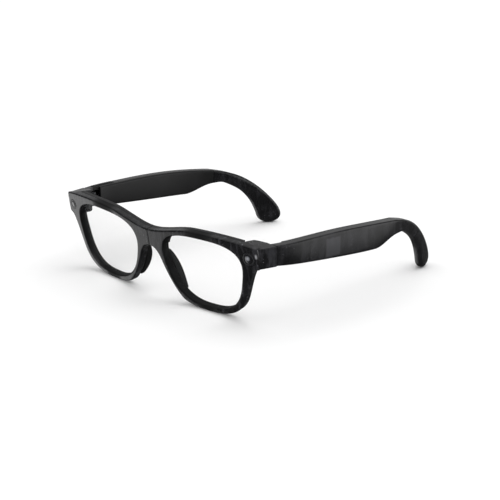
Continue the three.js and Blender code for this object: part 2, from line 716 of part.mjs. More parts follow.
function powerSlider() {
  const stem = slab(roundedBox(SLIDER_LENGTH, 2.4, 0.5), -TEMPLE_THICKNESS - 0.5, -4.8, 0, 3);
  const grooves = [-1.2, 0, 1.2].map((along) => (
    block([along - 0.2, -3, -9], [along + 0.2, 3, -TEMPLE_THICKNESS - 0.2])
  ));
  const knob = cut(stem, ...grooves).translate(SLIDER_FRONT + SLIDER_LENGTH / 2, SLIDER_LEVEL, 0);
  return bendTemple(knob, 1);
}
part('power_slider', powerSlider(), BLACK_SATIN);

// The right temple holds the main board, the touch film and the capture button.
inTemple('main_board', BOARD_GREEN, -1, [31.5, 76], [28.5, 35.1], [2.2, 3]);
inTemple('processor_shield', STEEL, -1, [46, 66], [29, 34.6], [3.65, 4.9]);
inTemple('touch_film', FLEX_AMBER, -1, [31.5, 76], [28.5, 35.1], [1.65, 1.9]);
inTemple('capture_switch', BLACK_SATIN, -1, [20, 24], [35.05, 35.9], [1.7, 3.1], 0.3);

function captureButton() {
  const length = BUTTON_BACK - BUTTON_FRONT;
  const width = 3.5;
  const middle = -2.95;
  const cap = slab(roundedBox(length, width, 0.8), 36.6, TOP_LEVEL + 0.35, 0, 3);
  const grooves = Array.from({ length: 9 }, (_, i) => {
    const along = (i - 4) * 1.25;
    return block([along - 0.25, -3, TOP_LEVEL], [along + 0.25, 3, TOP_LEVEL + 2]);
  });
  const upright = cut(cap, ...grooves).rotateX(-Math.PI / 2);
  return bendTemple(upright.translate((BUTTON_FRONT + BUTTON_BACK) / 2, 0, middle), -1);
}
part('capture_button', captureButton(), BLACK_SATIN);

export default glasses;
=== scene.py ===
# %% [markdown]
# # Smart glasses
# Thick square-eyed glasses with a camera in one corner, a capture light in the other and
# electronics in both temples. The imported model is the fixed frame. Its solids are coarse, so the
# shells that the eye sees are modelled again here, finely, on the same measures, and the small
# parts inside keep their solids and get real finishes.
# Everything is drawn in millimetres on a flat sheet first, because a flat outline is easy to
# measure, and is bent to its place at the end of each piece.

import math

import bpy
from mathutils import Matrix, Vector


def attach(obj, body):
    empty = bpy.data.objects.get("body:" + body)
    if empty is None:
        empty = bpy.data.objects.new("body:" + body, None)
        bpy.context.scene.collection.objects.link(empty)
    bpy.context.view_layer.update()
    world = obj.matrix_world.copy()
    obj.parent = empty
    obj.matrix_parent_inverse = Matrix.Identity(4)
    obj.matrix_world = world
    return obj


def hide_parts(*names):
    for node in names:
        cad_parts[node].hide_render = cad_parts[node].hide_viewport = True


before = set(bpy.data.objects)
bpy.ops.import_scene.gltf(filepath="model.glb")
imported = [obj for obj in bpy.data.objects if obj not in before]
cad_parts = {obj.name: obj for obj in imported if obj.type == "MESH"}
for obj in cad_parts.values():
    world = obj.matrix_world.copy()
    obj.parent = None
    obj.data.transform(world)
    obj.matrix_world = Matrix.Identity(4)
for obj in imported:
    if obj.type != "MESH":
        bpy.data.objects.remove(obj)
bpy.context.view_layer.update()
MM = 0.001

# %% [markdown]
# Blender's operators act on whatever is selected, so one helper makes an object the only selected
# one. A second applies a modifier the way the Apply button does.

# %% Selection helpers
def hold(obj):
    bpy.ops.object.select_all(action="DESELECT")
    obj.select_set(True)
    bpy.context.view_layer.objects.active = obj
    return obj


def modify(obj, kind, **settings):
    hold(obj)
    modifier = obj.modifiers.new(kind.lower(), kind)
    for name, value in settings.items():
        setattr(modifier, name, value)
    bpy.ops.object.modifier_apply(modifier=modifier.name)
    return obj


def select_vertices(obj, wanted):
    """Selects the vertices that a test on their place picks, and stays in edit mode."""
    hold(obj)
    bpy.ops.object.mode_set(mode="EDIT")
    bpy.ops.mesh.select_mode(type="VERT")
    bpy.ops.mesh.select_all(action="DESELECT")
    bpy.ops.object.mode_set(mode="OBJECT")
    for vertex in obj.data.vertices:
        vertex.select = wanted(vertex.co)
    bpy.ops.object.mode_set(mode="EDIT")


def copy_of(obj, name):
    twin = obj.copy()
    twin.data = obj.data.copy()
    twin.name = name
    bpy.context.collection.objects.link(twin)
    return twin


# %% [markdown]
# A real outline is a few long curves that run smoothly into each other, and a Bezier curve draws
# each with four points. The curves are stepped through at an even spacing, so that the rounded
# edge that follows them gets even faces.

# %% Curves
def bezier(points, count):
    a, b, c, d = [Vector(p) for p in points]
    steps = [i / count for i in range(count)]
    return [
        a * (1 - t) ** 3 + b * 3 * t * (1 - t) ** 2 + c * 3 * t * t * (1 - t) + d * t ** 3
        for t in steps
    ]


def bezier_path(curves, spacing):
    """Points along joined Bezier curves, about evenly spaced."""
    points = []
    for curve in curves:
        rough = bezier(curve, 12) + [Vector(curve[3])]
        length = sum((q - p).length for p, q in zip(rough, rough[1:]))
        points += bezier(curve, max(2, round(length / spacing)))
    return points + [Vector(curves[-1][3])]


# %% [markdown]
# A moulded plate with rounded edges is a ribbon that runs round the outline, closed by two flat
# faces. A grid primitive makes the ribbon: its columns go round the outline and its rows go over
# the rounded edge. Merging doubles closes it, and Fill closes the front and the back, also round
# the eye openings.

# %% Rounded plates
ROUND_STEPS = 4
MERGE_MM = 0.0005
FLAT_MM = 1e-5


def inward(points):
    """For each point of a closed outline, the way into the shape, longer at a sharp corner."""
    area = sum(p.x * q.y - q.x * p.y for p, q in zip(points, points[1:] + points[:1]))
    turn = 1 if area > 0 else -1
    ways = []
    for before, point, after in zip(points[-1:] + points[:-1], points, points[1:] + points[:1]):
        one, two = (point - before).normalized(), (after - point).normalized()
        across = Vector((-(one + two).y, (one + two).x)).normalized() * turn
        ways.append(across / max(0.5, across.dot(Vector((-one.y, one.x)) * turn)))
    return ways


def plate(name, outline, holes, front, back, rounding):
    """A flat plate between two heights, its edges rounded by rounding(point)."""
    ribbons = []
    for ring, into in [(outline, 1)] + [(hole, -1) for hole in holes]:
        ways = inward(ring)
        columns, rows = len(ring), 2 * ROUND_STEPS + 2
        bpy.ops.object.select_all(action="DESELECT")
        bpy.ops.mesh.primitive_grid_add(x_subdivisions=columns, y_subdivisions=rows - 1, size=1)
        ribbon = bpy.context.object
        for vertex in ribbon.data.vertices:
            column = round((vertex.co.x + 0.5) * columns) % columns
            row = round((vertex.co.y + 0.5) * (rows - 1))
            radius = rounding(ring[column])
            angle = math.pi / 2 * min(row, rows - 1 - row) / ROUND_STEPS
            place = ring[column] + ways[column] * radius * (1 - math.sin(angle)) * into
            rise = radius * (1 - math.cos(angle))
            height = back + rise if row <= ROUND_STEPS else front - rise
            vertex.co = (place.x, place.y, height)
        ribbons.append(ribbon)
    hold(ribbons[0])
    for ribbon in ribbons[1:]:
        ribbon.select_set(True)
    bpy.ops.object.join()
    body = bpy.context.object
    body.name = name
    hold(body)
    bpy.ops.object.mode_set(mode="EDIT")
    bpy.ops.mesh.select_all(action="SELECT")
    bpy.ops.mesh.remove_doubles(threshold=MERGE_MM)
    bpy.ops.object.mode_set(mode="OBJECT")
    for height in (front, back):
        select_vertices(body, lambda co: abs(co.z - height) < FLAT_MM)
        bpy.ops.mesh.fill(use_beauty=True)
        bpy.ops.object.mode_set(mode="OBJECT")
    return outwards(body)


def outwards(obj):
    hold(obj)
    bpy.ops.object.mode_set(mode="EDIT")
    bpy.ops.mesh.select_all(action="SELECT")
    bpy.ops.mesh.normals_make_consistent(inside=False)
    bpy.ops.object.mode_set(mode="OBJECT")
    return obj


# %% [markdown]
# Pockets and seats are cut with Boolean modifiers, as a mould maker would mill them. A cutter
# reaches well past the piece, so that no thin skin is left over the opening.

# %% Cutting and joining
PAST_TOP = 60
PAST_BACK = -9


def block(low, high):
    size = [b - a for a, b in zip(low, high)]
    middle = [(a + b) / 2 for a, b in zip(low, high)]
    bpy.ops.object.select_all(action="DESELECT")
    bpy.ops.mesh.primitive_cube_add(size=1, location=middle, scale=size)
    bpy.ops.object.transform_apply(location=True, rotation=True, scale=True)
    return bpy.context.object


def boolean(obj, other, operation):
    modify(obj, "BOOLEAN", object=other, operation=operation, solver="EXACT")
    bpy.data.objects.remove(other)
    return obj


# %% [markdown]
# A piece is drawn flat and bent to its place last. It is first cut into narrow strips, because a
# mesh only bends where it has edges. A finished piece gets metres, smooth shading that stays crisp
# at the seams, its material, and the body that it rides on.

# %% Bending and finishing a piece
STRIP_WIDTH = 2
SEAM_ANGLE = math.radians(35)


def strips(obj, start, end, step, across=(1, 0, 0)):
    """Cuts the mesh into narrow strips, so that it bends smoothly from one to the next."""
    hold(obj)
    bpy.ops.object.mode_set(mode="EDIT")
    for i in range(int((end - start) / step) + 1):
        bpy.ops.mesh.select_all(action="SELECT")
        bpy.ops.mesh.bisect(plane_co=Vector(across) * (start + i * step), plane_no=across)
    bpy.ops.object.mode_set(mode="OBJECT")
    return obj


def bend(obj, rule):
    for vertex in obj.data.vertices:
        vertex.co = rule(vertex.co)
    return obj


def finish_piece(obj, name, body, material, nodes):
    """Metres, smooth shading with crisp seams, a finish, and the body that it rides on."""
    obj.name = obj.data.name = name
    bend(outwards(obj), lambda co: co * MM)
    hold(obj)
    bpy.ops.object.shade_smooth_by_angle(angle=SEAM_ANGLE)
    modify(obj, "WEIGHTED_NORMAL", mode="FACE_AREA", keep_sharp=True)
    obj.data.materials.clear()
    obj.data.materials.append(material)
    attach(obj, body)
    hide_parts(*nodes)
    print(name, len(obj.data.polygons), "faces")
    return obj


# %% [markdown]
# ## The front
# The real front is one injection moulding, about 4.4 mm deep, wrapped round the face and leaning
# a little. It is drawn flat, as u across and v up, with its depth behind the sheet. Half of the
# outline is drawn and then mirrored.

# %% Outline of the front
OUTLINE_SPACING = 0.8
HALF_EDGE = [
    [(0, 27.5), (3.4, 27.5), (5.4, 25.6), (7.3, 21.5)],
    [(7.3, 21.5), (9.6, 16.4), (13.2, 9.2), (19, 4)],
    [(19, 4), (21.3, 2.1), (28, 0.85), (37.9, 0.85)],
    [(37.9, 0.85), (48.5, 0.85), (56.3, 3.2), (60, 11.8)],
    [(60, 11.8), (61.6, 15.4), (63.6, 21.8), (65.9, 25.8)],
    [(65.9, 25.8), (66.8, 27.4), (68, 28.2), (69.7, 28.5)],
    [(69.7, 28.5), (70.3, 31.5), (70.3, 35), (70, 38)],
    [(70, 38), (70, 39), (69.6, 39.3), (68.8, 39.4)],
    [(68.8, 39.4), (57, 41), (42, 41.6), (30, 41.1)],
    [(30, 41.1), (20.5, 40.9), (9.5, 36.4), (0, 36.4)],
]


def mirrored_points(points):
    return [Vector((-p.x, p.y)) for p in reversed(points)]


half = bezier_path(HALF_EDGE, OUTLINE_SPACING)
front_outline = half + mirrored_points(half[1:-1])
print("front outline:", len(front_outline), "points")

# %% [markdown]
# An eye opening is a squared oval that flares towards the top, where its middle moves sideways
# too. A formula draws it, because it can then be grown by any margin: the lens is the same oval,
# grown to reach into the rim.

# %% Eye openings
EYE_MIDDLE = 35
EYE_LEVEL = 20.75
EYE_HALF_WIDTH = 23.95
EYE_HALF_HEIGHT = 17.35
EYE_FLARE = 0.19
EYE_LEAN = 0.7
EYE_BOW = 1.1
SQUARENESS = 2.8
EYE_POINTS = 120


def power(value, exponent):
    return math.copysign(abs(value) ** exponent, value)


def eye_ring(side, outset):
    """The edge of an eye opening, grown by outset. Its rise is -1 at the foot and 1 at the top."""
    ring = []
    for i in range(EYE_POINTS):
        angle = 2 * math.pi * i / EYE_POINTS
        rise = power(math.sin(angle), 2 / SQUARENESS)
        run = power(math.cos(angle), 2 / SQUARENESS)
        half_width = EYE_HALF_WIDTH * (1 + EYE_FLARE * rise)
        middle = EYE_MIDDLE - EYE_LEAN * rise + EYE_BOW * rise * rise
        ring.append(Vector((middle + half_width * run, EYE_LEVEL + EYE_HALF_HEIGHT * rise)))
    grown = [p - way * outset for p, way in zip(ring, inward(ring))]
    return grown if side > 0 else mirrored_points(grown)


eyes = [eye_ring(1, 0), eye_ring(-1, 0)]
print("eye openings:", [round(max(p.x for p in e) - min(p.x for p in e), 1) for e in eyes], "mm")

# %% [markdown]
# The wrap is a big cylinder and the lean is a turn, so one rule takes a point of the drawing to
# its place. The brow's outer ends stay level from front to back, where the end blocks meet them,
# and a second rule sees to that.

# %% Wrapping the front
WRAP_RADIUS = 375.6
TILT = math.radians(10.4)
FRONT_LIFT = -1.27
HALF_LENGTH = 66.3
LEVEL_START = 62
LEVEL_END = 69.5
LEVEL_FOOT = 33
LEVEL_BLEND = 5


def smoothstep(value, low, high):
    t = min(1, max(0, (value - low) / (high - low)))
    return t * t * (3 - 2 * t)


def onto_front(co):
    """Flat front (u, v, minus the depth) to its place on the object, in mm."""
    angle = co.x / WRAP_RADIUS
    radius = WRAP_RADIUS + co.z
    behind = WRAP_RADIUS - radius * math.cos(angle)
    return Vector((
        radius * math.sin(angle),
        behind * math.cos(TILT) - co.y * math.sin(TILT) - HALF_LENGTH,
        co.y * math.cos(TILT) + behind * math.sin(TILT) + FRONT_LIFT,
    ))


def onto_level_front(co):
    """The same, with the brow's outer ends kept level behind their front edge."""
    high = min(1, max(0, (co.y - LEVEL_FOOT) / LEVEL_BLEND))
    ends = smoothstep(abs(co.x), LEVEL_START, LEVEL_END) * high
    return onto_front(Vector((co.x, co.y + co.z * math.tan(TILT) * ends, co.z)))


# %% [markdown]
# ## Finishes
# Colours are picked as sRGB hex values, as in a paint program, and one function turns them to the
# linear numbers that the shader wants. A second adds a node. Its inputs are named, or listed in
# the order in which the node shows them, and a node given as an input is linked by its first
# output. A pattern's scale is worked out from its real spacing.

# %% Colour and node helpers
def linear(code):
    channels = [int(code[i:i + 2], 16) / 255 for i in (1, 3, 5)]
    return tuple(c / 12.92 if c <= 0.04045 else ((c + 0.055) / 1.055) ** 2.4
                 for c in channels) + (1.0,)


def node(tree, kind, sockets=(), stops=(), **settings):
    """Adds a node. stops are the places and colours of a colour ramp."""
    made = tree.nodes.new("ShaderNode" + kind)
    for name, value in settings.items():
        setattr(made, name, value)
    named = isinstance(sockets, dict)
    shown = made.inputs if named else [socket for socket in made.inputs if socket.enabled]
    for key, value in sockets.items() if named else enumerate(sockets):
        if isinstance(value, bpy.types.Node):
            value = next(output for output in value.outputs if output.enabled)
        if isinstance(value, bpy.types.NodeSocket):
            tree.links.new(value, shown[key])
        else:
            shown[key].default_value = value
    while stops and len(made.color_ramp.elements) < len(stops):
        made.color_ramp.elements.new(0.5)
    for i, (position, code) in enumerate(stops):
        made.color_ramp.elements[i].position = position
        made.color_ramp.elements[i].color = linear(code)
    return made


def every(spacing_mm):
    """The scale of a pattern that repeats about every so many millimetres."""
    return 1 / (spacing_mm * MM)


# %% [markdown]
# Every finish starts with an empty node tree and the place on the piece that its patterns read.
# Object coordinates are used, because they stay with the piece when a temple folds. It ends with
# one shader for the whole surface.

# %% Starting and closing a finish
def start_material(name):
    material = bpy.data.materials.new(name)
    material.use_nodes = True
    tree = material.node_tree
    tree.nodes.clear()
    return material, tree, node(tree, "TexCoord").outputs["Object"]


def surface(material, sockets):
    shader = node(material.node_tree, "BsdfPrincipled", sockets)
    node(material.node_tree, "OutputMaterial", [shader])
    print("finish:", material.name, len(material.node_tree.nodes), "nodes")
    return material


# %% [markdown]
# Behind the smoky skin of the real glasses lie parts that show darker or paler. They could be
# modelled under clear plastic, but light inside it takes long to render. Here each is a box, in
# mm, in which the material changes colour. X counts from the middle to both sides. The same
# boxes also place painted light: a painted highlight beside the camera and painted shade down
# the middle of the bridge.

# %% Marks behind the skin, and painted light
MARK_BLUR = 0.5


def in_box(tree, axes, ranges):
    """1 inside the ranges and 0 outside, with a soft edge."""
    inside = 1.0
    for axis, (low, high) in ranges.items():
        value = axes[axis]
        if axis == "X":
            value = node(tree, "Math", [value], operation="ABSOLUTE")
        offset = node(tree, "Math", [value, (low + high) / 2 * MM], operation="SUBTRACT")
        away = node(tree, "Math", [offset], operation="ABSOLUTE")
        start = max(0, (high - low) / 2 - MARK_BLUR) * MM
        end = ((high - low) / 2 + MARK_BLUR) * MM
        near = node(tree, "MapRange", [away, start, end, 1, 0])
        inside = node(tree, "Math", [inside, near], operation="MULTIPLY")
    return inside


# %% [markdown]
# A moulding tool is polished only where the eye looks first. The walls of the eye openings stay
# dull, and so does the weld line, where the plastic met in the middle of the bridge. Both are also
# painted darker, as painted shade. The openings' own formula, written with maths nodes, tells the
# material where their walls begin.

# %% Dull walls and weld line, with painted shade
# The weld line's box is where the bridge is dulled and also painted darker, as painted shade.
WELD_LINE_AND_SHADE = {"X": (-0.5, 0.5)}
WALL_BLUR = 0.07


def eye_walls(tree, axes):
    """1 inside the eye openings' edges and 0 outside. Its sizes are rounded to 0.1 mm."""
    middle = onto_front(Vector((EYE_MIDDLE, EYE_LEVEL, 0)))
    middle_x, middle_z = round(middle.x, 1), round(middle.z, 1)
    half_height = round(EYE_HALF_HEIGHT * math.cos(TILT), 1)
    narrow, wide = [round(EYE_HALF_WIDTH * (1 + end * EYE_FLARE), 1) for end in (-1, 1)]
    print("eye walls, mm:", middle_x, middle_z, half_height, narrow, wide)
    foot, top = (middle_z - half_height) * MM, (middle_z + half_height) * MM
    rise = node(tree, "MapRange", [axes["Z"], foot, top, -1, 1])
    half_width = node(tree, "MapRange", [rise, -1, 1, narrow * MM, wide * MM])
    from_nose = node(tree, "Math", [axes["X"]], operation="ABSOLUTE")
    offset = node(tree, "Math", [from_nose, middle_x * MM], operation="SUBTRACT")
    run = node(tree, "Math", [offset, half_width], operation="DIVIDE")
    oval = 0.0
    for share in (run, rise):
        size = node(tree, "Math", [share], operation="ABSOLUTE")
        raised = node(tree, "Math", [size, SQUARENESS], operation="POWER")
        oval = node(tree, "Math", [oval, raised], operation="ADD")
    return node(tree, "MapRange", [oval, 1.0, 1.0 + WALL_BLUR, 1, 0])


# %% [markdown]
# The front and the temples are moulded in smoky, slightly see-through nylon and polished. Seen
# close, the eye finds slow cloudy changes in depth, faint flow streaks from the moulding, a few
# bright glints from parts inside, which are painted highlights in the colour, and very light wipe
# marks that spread the gloss unevenly.

# %% Polished smoky nylon
DULL_ROUGHNESS = 0.85


def cloudy_depth(tree, place, streak, glint):
    """The colour in depth: clouds, flow streaks, and painted highlights as glints in the pale
    clouds.
    """
    clouds = node(tree, "TexNoise", {"Vector": place, "Scale": every(9), "Detail": 3.0})
    color = node(tree, "ValToRGB", [clouds],
                 [(0.3, "#0A0A0C"), (0.55, "#121214"), (0.75, "#1C1C1E")])
    stretched = node(tree, "Mapping", {"Vector": place, "Scale": (1, 0.4, 0.16)})
    flow = node(tree, "TexNoise", {"Vector": stretched, "Scale": every(1.8), "Detail": 3.0})
    bands = node(tree, "MapRange", [flow, 0.5, 0.66, 0, streak])
    color = node(tree, "Mix", [bands, color, linear("#404044")], data_type="RGBA")
    # Painted highlights: the glints are pale dots mixed into the colour where the clouds are pale.
    cells = node(tree, "TexVoronoi", {"Vector": place, "Scale": every(1.5)})
    sparks = node(tree, "MapRange", [cells, 0.03, 0.18, 1, 0])
    patches = node(tree, "MapRange", [clouds, 0.5, 0.57, 0, glint])
    painted_glints = node(tree, "Math", [sparks, patches], operation="MULTIPLY")
    return node(tree, "Mix", [painted_glints, color, linear("#A8A8AE")], data_type="RGBA")


def smoky_nylon(name, streak, glint, marks, is_front=False):
    """marks: (ranges per axis, strength, colour) of what shows through the skin, or of a painted
    highlight.
    """
    material, tree, place = start_material(name)
    axes = node(tree, "SeparateXYZ", [place]).outputs
    color = cloudy_depth(tree, place, streak, glint)
    for ranges, strength, code in marks:
        inside = in_box(tree, axes, ranges)
        shown = node(tree, "Math", [inside, strength], operation="MULTIPLY")
        color = node(tree, "Mix", [shown, color, linear(code)], data_type="RGBA")
    wiped = node(tree, "Mapping", {"Vector": place, "Scale": (0.6, 0.25, 1.6)})
    wipes = node(tree, "TexNoise", {"Vector": wiped, "Scale": every(1.1), "Detail": 5.0})
    rough = node(tree, "MapRange", [wipes, 0.3, 0.75, 0.13, 0.26])
    if is_front:
        dull_and_shaded = node(tree, "Math", [eye_walls(tree, axes), in_box(tree, axes, WELD_LINE_AND_SHADE)],
                    operation="MAXIMUM")
        dulled = node(tree, "Math", [dull_and_shaded, DULL_ROUGHNESS], operation="MULTIPLY")
        rough = node(tree, "Math", [rough, dulled], operation="MAXIMUM")
        # Painted shade: the dull places are also painted darker, in the eye openings' walls and
        # down the middle of the bridge.
        color = node(tree, "Mix", [dull_and_shaded, color, linear("#060607")], data_type="RGBA")
    peel = node(tree, "TexNoise", {"Vector": place, "Scale": every(2.2), "Detail": 2.0})
    normal = node(tree, "Bump", {"Height": peel, "Strength": 0.05, "Distance": 0.12 * MM})
    return surface(material, {"Base Color": color, "Roughness": rough, "Normal": normal,
                              "IOR": 1.52, "Coat Weight": 0.1, "Coat Roughness": 0.1})


# %% [markdown]
# Beside the camera the front has a painted highlight: a short pale strip in its colour, where the
# corner catches the light. The outside of the left temple shows a paler rectangle where the
# cell's label lies behind the skin, and three faint joints of the parts inside. The right one has
# only the joints.

# %% Front and temple nylon, with what shows through, and a painted highlight
# A painted highlight: a pale strip painted into the front's colour at its corner beside the camera.
PAINTED_CORNER_HIGHLIGHT = ({"X": (68.6, 69.1), "Y": (-70, -65.6), "Z": (33.8, 35.6)}, 0.8, "#B4B4B8")
JOINTS = [({"Y": (y - 0.25, y + 0.25)}, 0.75, "#050506") for y in (-35.3, 5.6, 16.9)]
LABEL = ({"Y": (-24.4, -14.6), "Z": (26.8, 35.8)}, 0.5, "#48484C")
CELL = ({"Y": (-35, 5.4), "Z": (26.2, 36.2)}, 0.1, "#48484C")
polished_front = smoky_nylon("smoky_nylon_polished_front", 0.5, 0.8, [PAINTED_CORNER_HIGHLIGHT], True)
polished_left = smoky_nylon("smoky_nylon_polished_left_temple", 0.2, 0.18, JOINTS + [LABEL, CELL])
polished_right = smoky_nylon("smoky_nylon_polished_right_temple", 0.2, 0.18, JOINTS)

# %% [markdown]
# The covers on the inside are the same nylon, moulded against a spark-eroded tool: a fine even
# grain, about a tenth of a millimetre. It is drawn at 0.35 mm, the finest that still shows. The
# tumbled nose pads, the soft-touch keys and the housings inside are coarser and duller.

# %% Satin smoky nylon
def satin_nylon(name, dark, light, grain_mm=0.35, strength=0.25, rough=(0.36, 0.48)):
    material, tree, place = start_material(name)
    grain = node(tree, "TexNoise", {"Vector": place, "Scale": every(grain_mm), "Detail": 2.0})
    clouds = node(tree, "TexNoise", {"Vector": place, "Scale": every(11), "Detail": 3.0})
    color = node(tree, "ValToRGB", [clouds], [(0.3, dark), (0.75, light)])
    shine = node(tree, "MapRange", [clouds, 0.3, 0.7, *rough])
    normal = node(tree, "Bump", {"Height": grain, "Strength": strength, "Distance": 0.05 * MM})
    return surface(material, {"Base Color": color, "Roughness": shine, "Normal": normal,
                              "IOR": 1.52})


satin_brow = satin_nylon("smoky_nylon_spark_grained_brow", "#111113", "#1C1C1E")
satin_lining = satin_nylon("smoky_nylon_spark_grained_lining", "#09090A", "#131314",
                           rough=(0.3, 0.42))
pad_skin = satin_nylon("tumbled_nylon_nose_pad", "#070708", "#101012", 0.5, 0.3, (0.42, 0.55))
matte_key = satin_nylon("soft_touch_black_key", "#161617", "#222224", 0.4, 0.35, (0.5, 0.62))
black_housing = satin_nylon("glass_filled_black_housing", "#0E0E10", "#1B1B1D", 0.5, 0.4,
                            (0.45, 0.6))

# %% [markdown]
# The lenses are clear plastic with a hard coat. They must let the light through to the floor, so
# the shader's alpha is low seen face on, and rises at the rim of vision, as a reflection does.

# %% Clear hard-coated lens
clear_lens, tree, place = start_material("hard_coated_clear_polycarbonate")
slant = node(tree, "LayerWeight", {"Blend": 0.35}).outputs["Facing"]
cover = node(tree, "MapRange", [slant, 0.3, 1.0, 0.012, 0.3])
haze = node(tree, "TexNoise", {"Vector": place, "Scale": every(6), "Detail": 2.0})
smear = node(tree, "MapRange", [haze, 0.3, 0.7, 0.03, 0.08])
surface(clear_lens, {"Base Color": linear("#34373A"), "Roughness": smear, "IOR": 1.58,
                     "Alpha": cover})

# %% [markdown]
# The camera's and the light's windows are dark tinted glass, domed and optically polished. Behind
# them the eye makes out rings: the lens barrel's steps, with a bluish anti-reflection coating. A
# pale spot in their middle is a painted highlight, the soft round highlight of the dome. The rings
# and the spot are set a little off the window's middle, where that highlight falls.

# %% Tinted windows
MODULE_V = 33.5
# Where the painted highlight and the rings are centred, a little off the window's middle.
HIGHLIGHT_SHIFT = Vector((-0.45, 0.45, 0.3))


def away_from(tree, place, centre):
    """The distance from a point in mm of the object, for patterns that run in rings round it."""
    offset = node(tree, "VectorMath", [place, centre * MM], operation="SUBTRACT")
    return node(tree, "VectorMath", [offset], operation="LENGTH")


def tinted_window(name, u, radius_mm, painted_highlight, rim):
    material, tree, place = start_material(name)
    away = away_from(tree, place, onto_front(Vector((u, MODULE_V, 0)) + HIGHLIGHT_SHIFT))
    share = node(tree, "Math", [away, radius_mm * MM], operation="DIVIDE")
    # The pale middle of the ramp is a painted highlight; the rings round it are the barrel's steps.
    color = node(tree, "ValToRGB", [share],
                 [(0.1, painted_highlight), (0.66, "#08080A"), (0.7, "#101018"), (0.75, "#040406"),
                  (0.86, rim), (0.95, "#060608")])
    dust = node(tree, "TexNoise", {"Vector": place, "Scale": every(0.8), "Detail": 3.0})
    rough = node(tree, "MapRange", [dust, 0.35, 0.7, 0.02, 0.07])
    return surface(material, {"Base Color": color, "Roughness": rough, "IOR": 1.6,
                              "Coat Weight": 1.0, "Coat Roughness": 0.02})


# %% [markdown]
# The rings round them are satin black aluminium, turned on a lathe: fine grooves run round the
# centre, 0.12 mm apart, drawn at 0.3 mm. A sine of the distance from the centre makes them.

# %% Turned black rings
def turned_black(name, u):
    material, tree, place = start_material(name)
    away = away_from(tree, place, onto_front(Vector((u, MODULE_V, 0))))
    turns = node(tree, "Math", [away, 2 * math.pi * every(0.3)], operation="MULTIPLY")
    groove = node(tree, "Math", [turns], operation="SINE")
    grain = node(tree, "TexNoise", {"Vector": place, "Scale": every(0.5), "Detail": 2.0})
    color = node(tree, "ValToRGB", [grain], [(0.3, "#141416"), (0.7, "#242428")])
    normal = node(tree, "Bump", {"Height": groove, "Strength": 0.12, "Distance": 0.02 * MM})
    rough = node(tree, "MapRange", [grain, 0.3, 0.7, 0.24, 0.36])
    return surface(material, {"Base Color": color, "Roughness": rough, "Normal": normal,
                              "IOR": 1.5, "Coat Weight": 0.3, "Coat Roughness": 0.1})


# %% [markdown]
# Metals: the hinge leaves are stamped steel with a black oxide skin, worn grey in places; pins,
# screws and cans are bare steel with fine drawn lines; the contacts are gold plated. The cell's
# pouch is foil between plastic films, with soft creases. One function makes them all, because
# they differ only in colour, gloss and the way that their lines run.

# %% Metals
def worked_metal(name, dark, light, rough, stretch, line_mm=0.25, metal=1.0):
    material, tree, place = start_material(name)
    drawn = node(tree, "Mapping", {"Vector": place, "Scale": stretch})
    lines = node(tree, "TexNoise", {"Vector": drawn, "Scale": every(line_mm), "Detail": 3.0})
    worn = node(tree, "TexNoise", {"Vector": place, "Scale": every(1.5), "Detail": 4.0})
    color = node(tree, "ValToRGB", [worn], [(0.35, dark), (0.72, light)])
    shine = node(tree, "MapRange", [lines, 0.3, 0.7, rough - 0.06, rough + 0.1])
    normal = node(tree, "Bump", {"Height": lines, "Strength": 0.2, "Distance": 0.02 * MM})
    return surface(material, {"Base Color": color, "Roughness": shine, "Metallic": metal,
                              "Normal": normal})


black_oxide = worked_metal("stamped_steel_black_oxide", "#141415", "#2B2B2D", 0.38, (1, 1, 0.2),
                           metal=0.6)
bare_steel = worked_metal("drawn_stainless_steel", "#8B8D90", "#B9BBBE", 0.26, (1, 1, 0.1))
tin_can = worked_metal("tinned_shield_can", "#A3A5A8", "#C6C8CA", 0.3, (0.2, 1, 1))
gold = worked_metal("gold_plated_contact", "#C79A3C", "#E6C26B", 0.2, (1, 1, 1))
foil = worked_metal("laminated_foil_pouch", "#8A8C90", "#B4B6BA", 0.34, (0.5, 0.3, 1), 2.5, 0.7)

# %% [markdown]
# Circuit boards: copper tracks under a green or amber mask, about half a millimetre wide. They
# could be drawn one by one, but nobody sees more than a glimpse of them. A Voronoi pattern with
# square cells makes tracks that turn corners, and a second, coarser one makes pads.

# %% Boards and films
def circuit(name, mask, track, pad, track_mm=0.9, rough=0.35):
    material, tree, place = start_material(name)
    tracks = node(tree, "TexVoronoi", {"Vector": place, "Scale": every(track_mm)},
                  distance="CHEBYCHEV")
    edge = node(tree, "MapRange", [tracks, 0.34, 0.4, 0, 1])
    color = node(tree, "Mix", [edge, linear(mask), linear(track)], data_type="RGBA")
    pads = node(tree, "TexVoronoi", {"Vector": place, "Scale": every(2.2)}, distance="CHEBYCHEV")
    dots = node(tree, "MapRange", [pads, 0.12, 0.15, 1, 0])
    color = node(tree, "Mix", [dots, color, linear(pad)], data_type="RGBA")
    normal = node(tree, "Bump", {"Height": edge, "Strength": 0.3, "Distance": 0.03 * MM})
    metal = node(tree, "MapRange", [dots, 0, 1, 0, 0.9])
    return surface(material, {"Base Color": color, "Roughness": rough, "Metallic": metal,
                              "Normal": normal, "Coat Weight": 0.4, "Coat Roughness": 0.1})


green_board = circuit("solder_masked_glass_epoxy", "#12342A", "#1F5A43", "#D8B766")
amber_film = circuit("amber_polyimide_flex", "#5B3D1C", "#8A5F2C", "#C9935A", 1.4, 0.3)

# %% [markdown]
# The speaker outlet has a woven mesh, with threads 0.1 mm thick, drawn about 0.3 mm apart. A wave
# texture's bands are a little less than 1 / pi apart at scale 1, and the scale is divided by pi
# for that. The light guide is milky acrylic.

# %% Woven mesh and light guide
THREAD_SPACING = 0.3

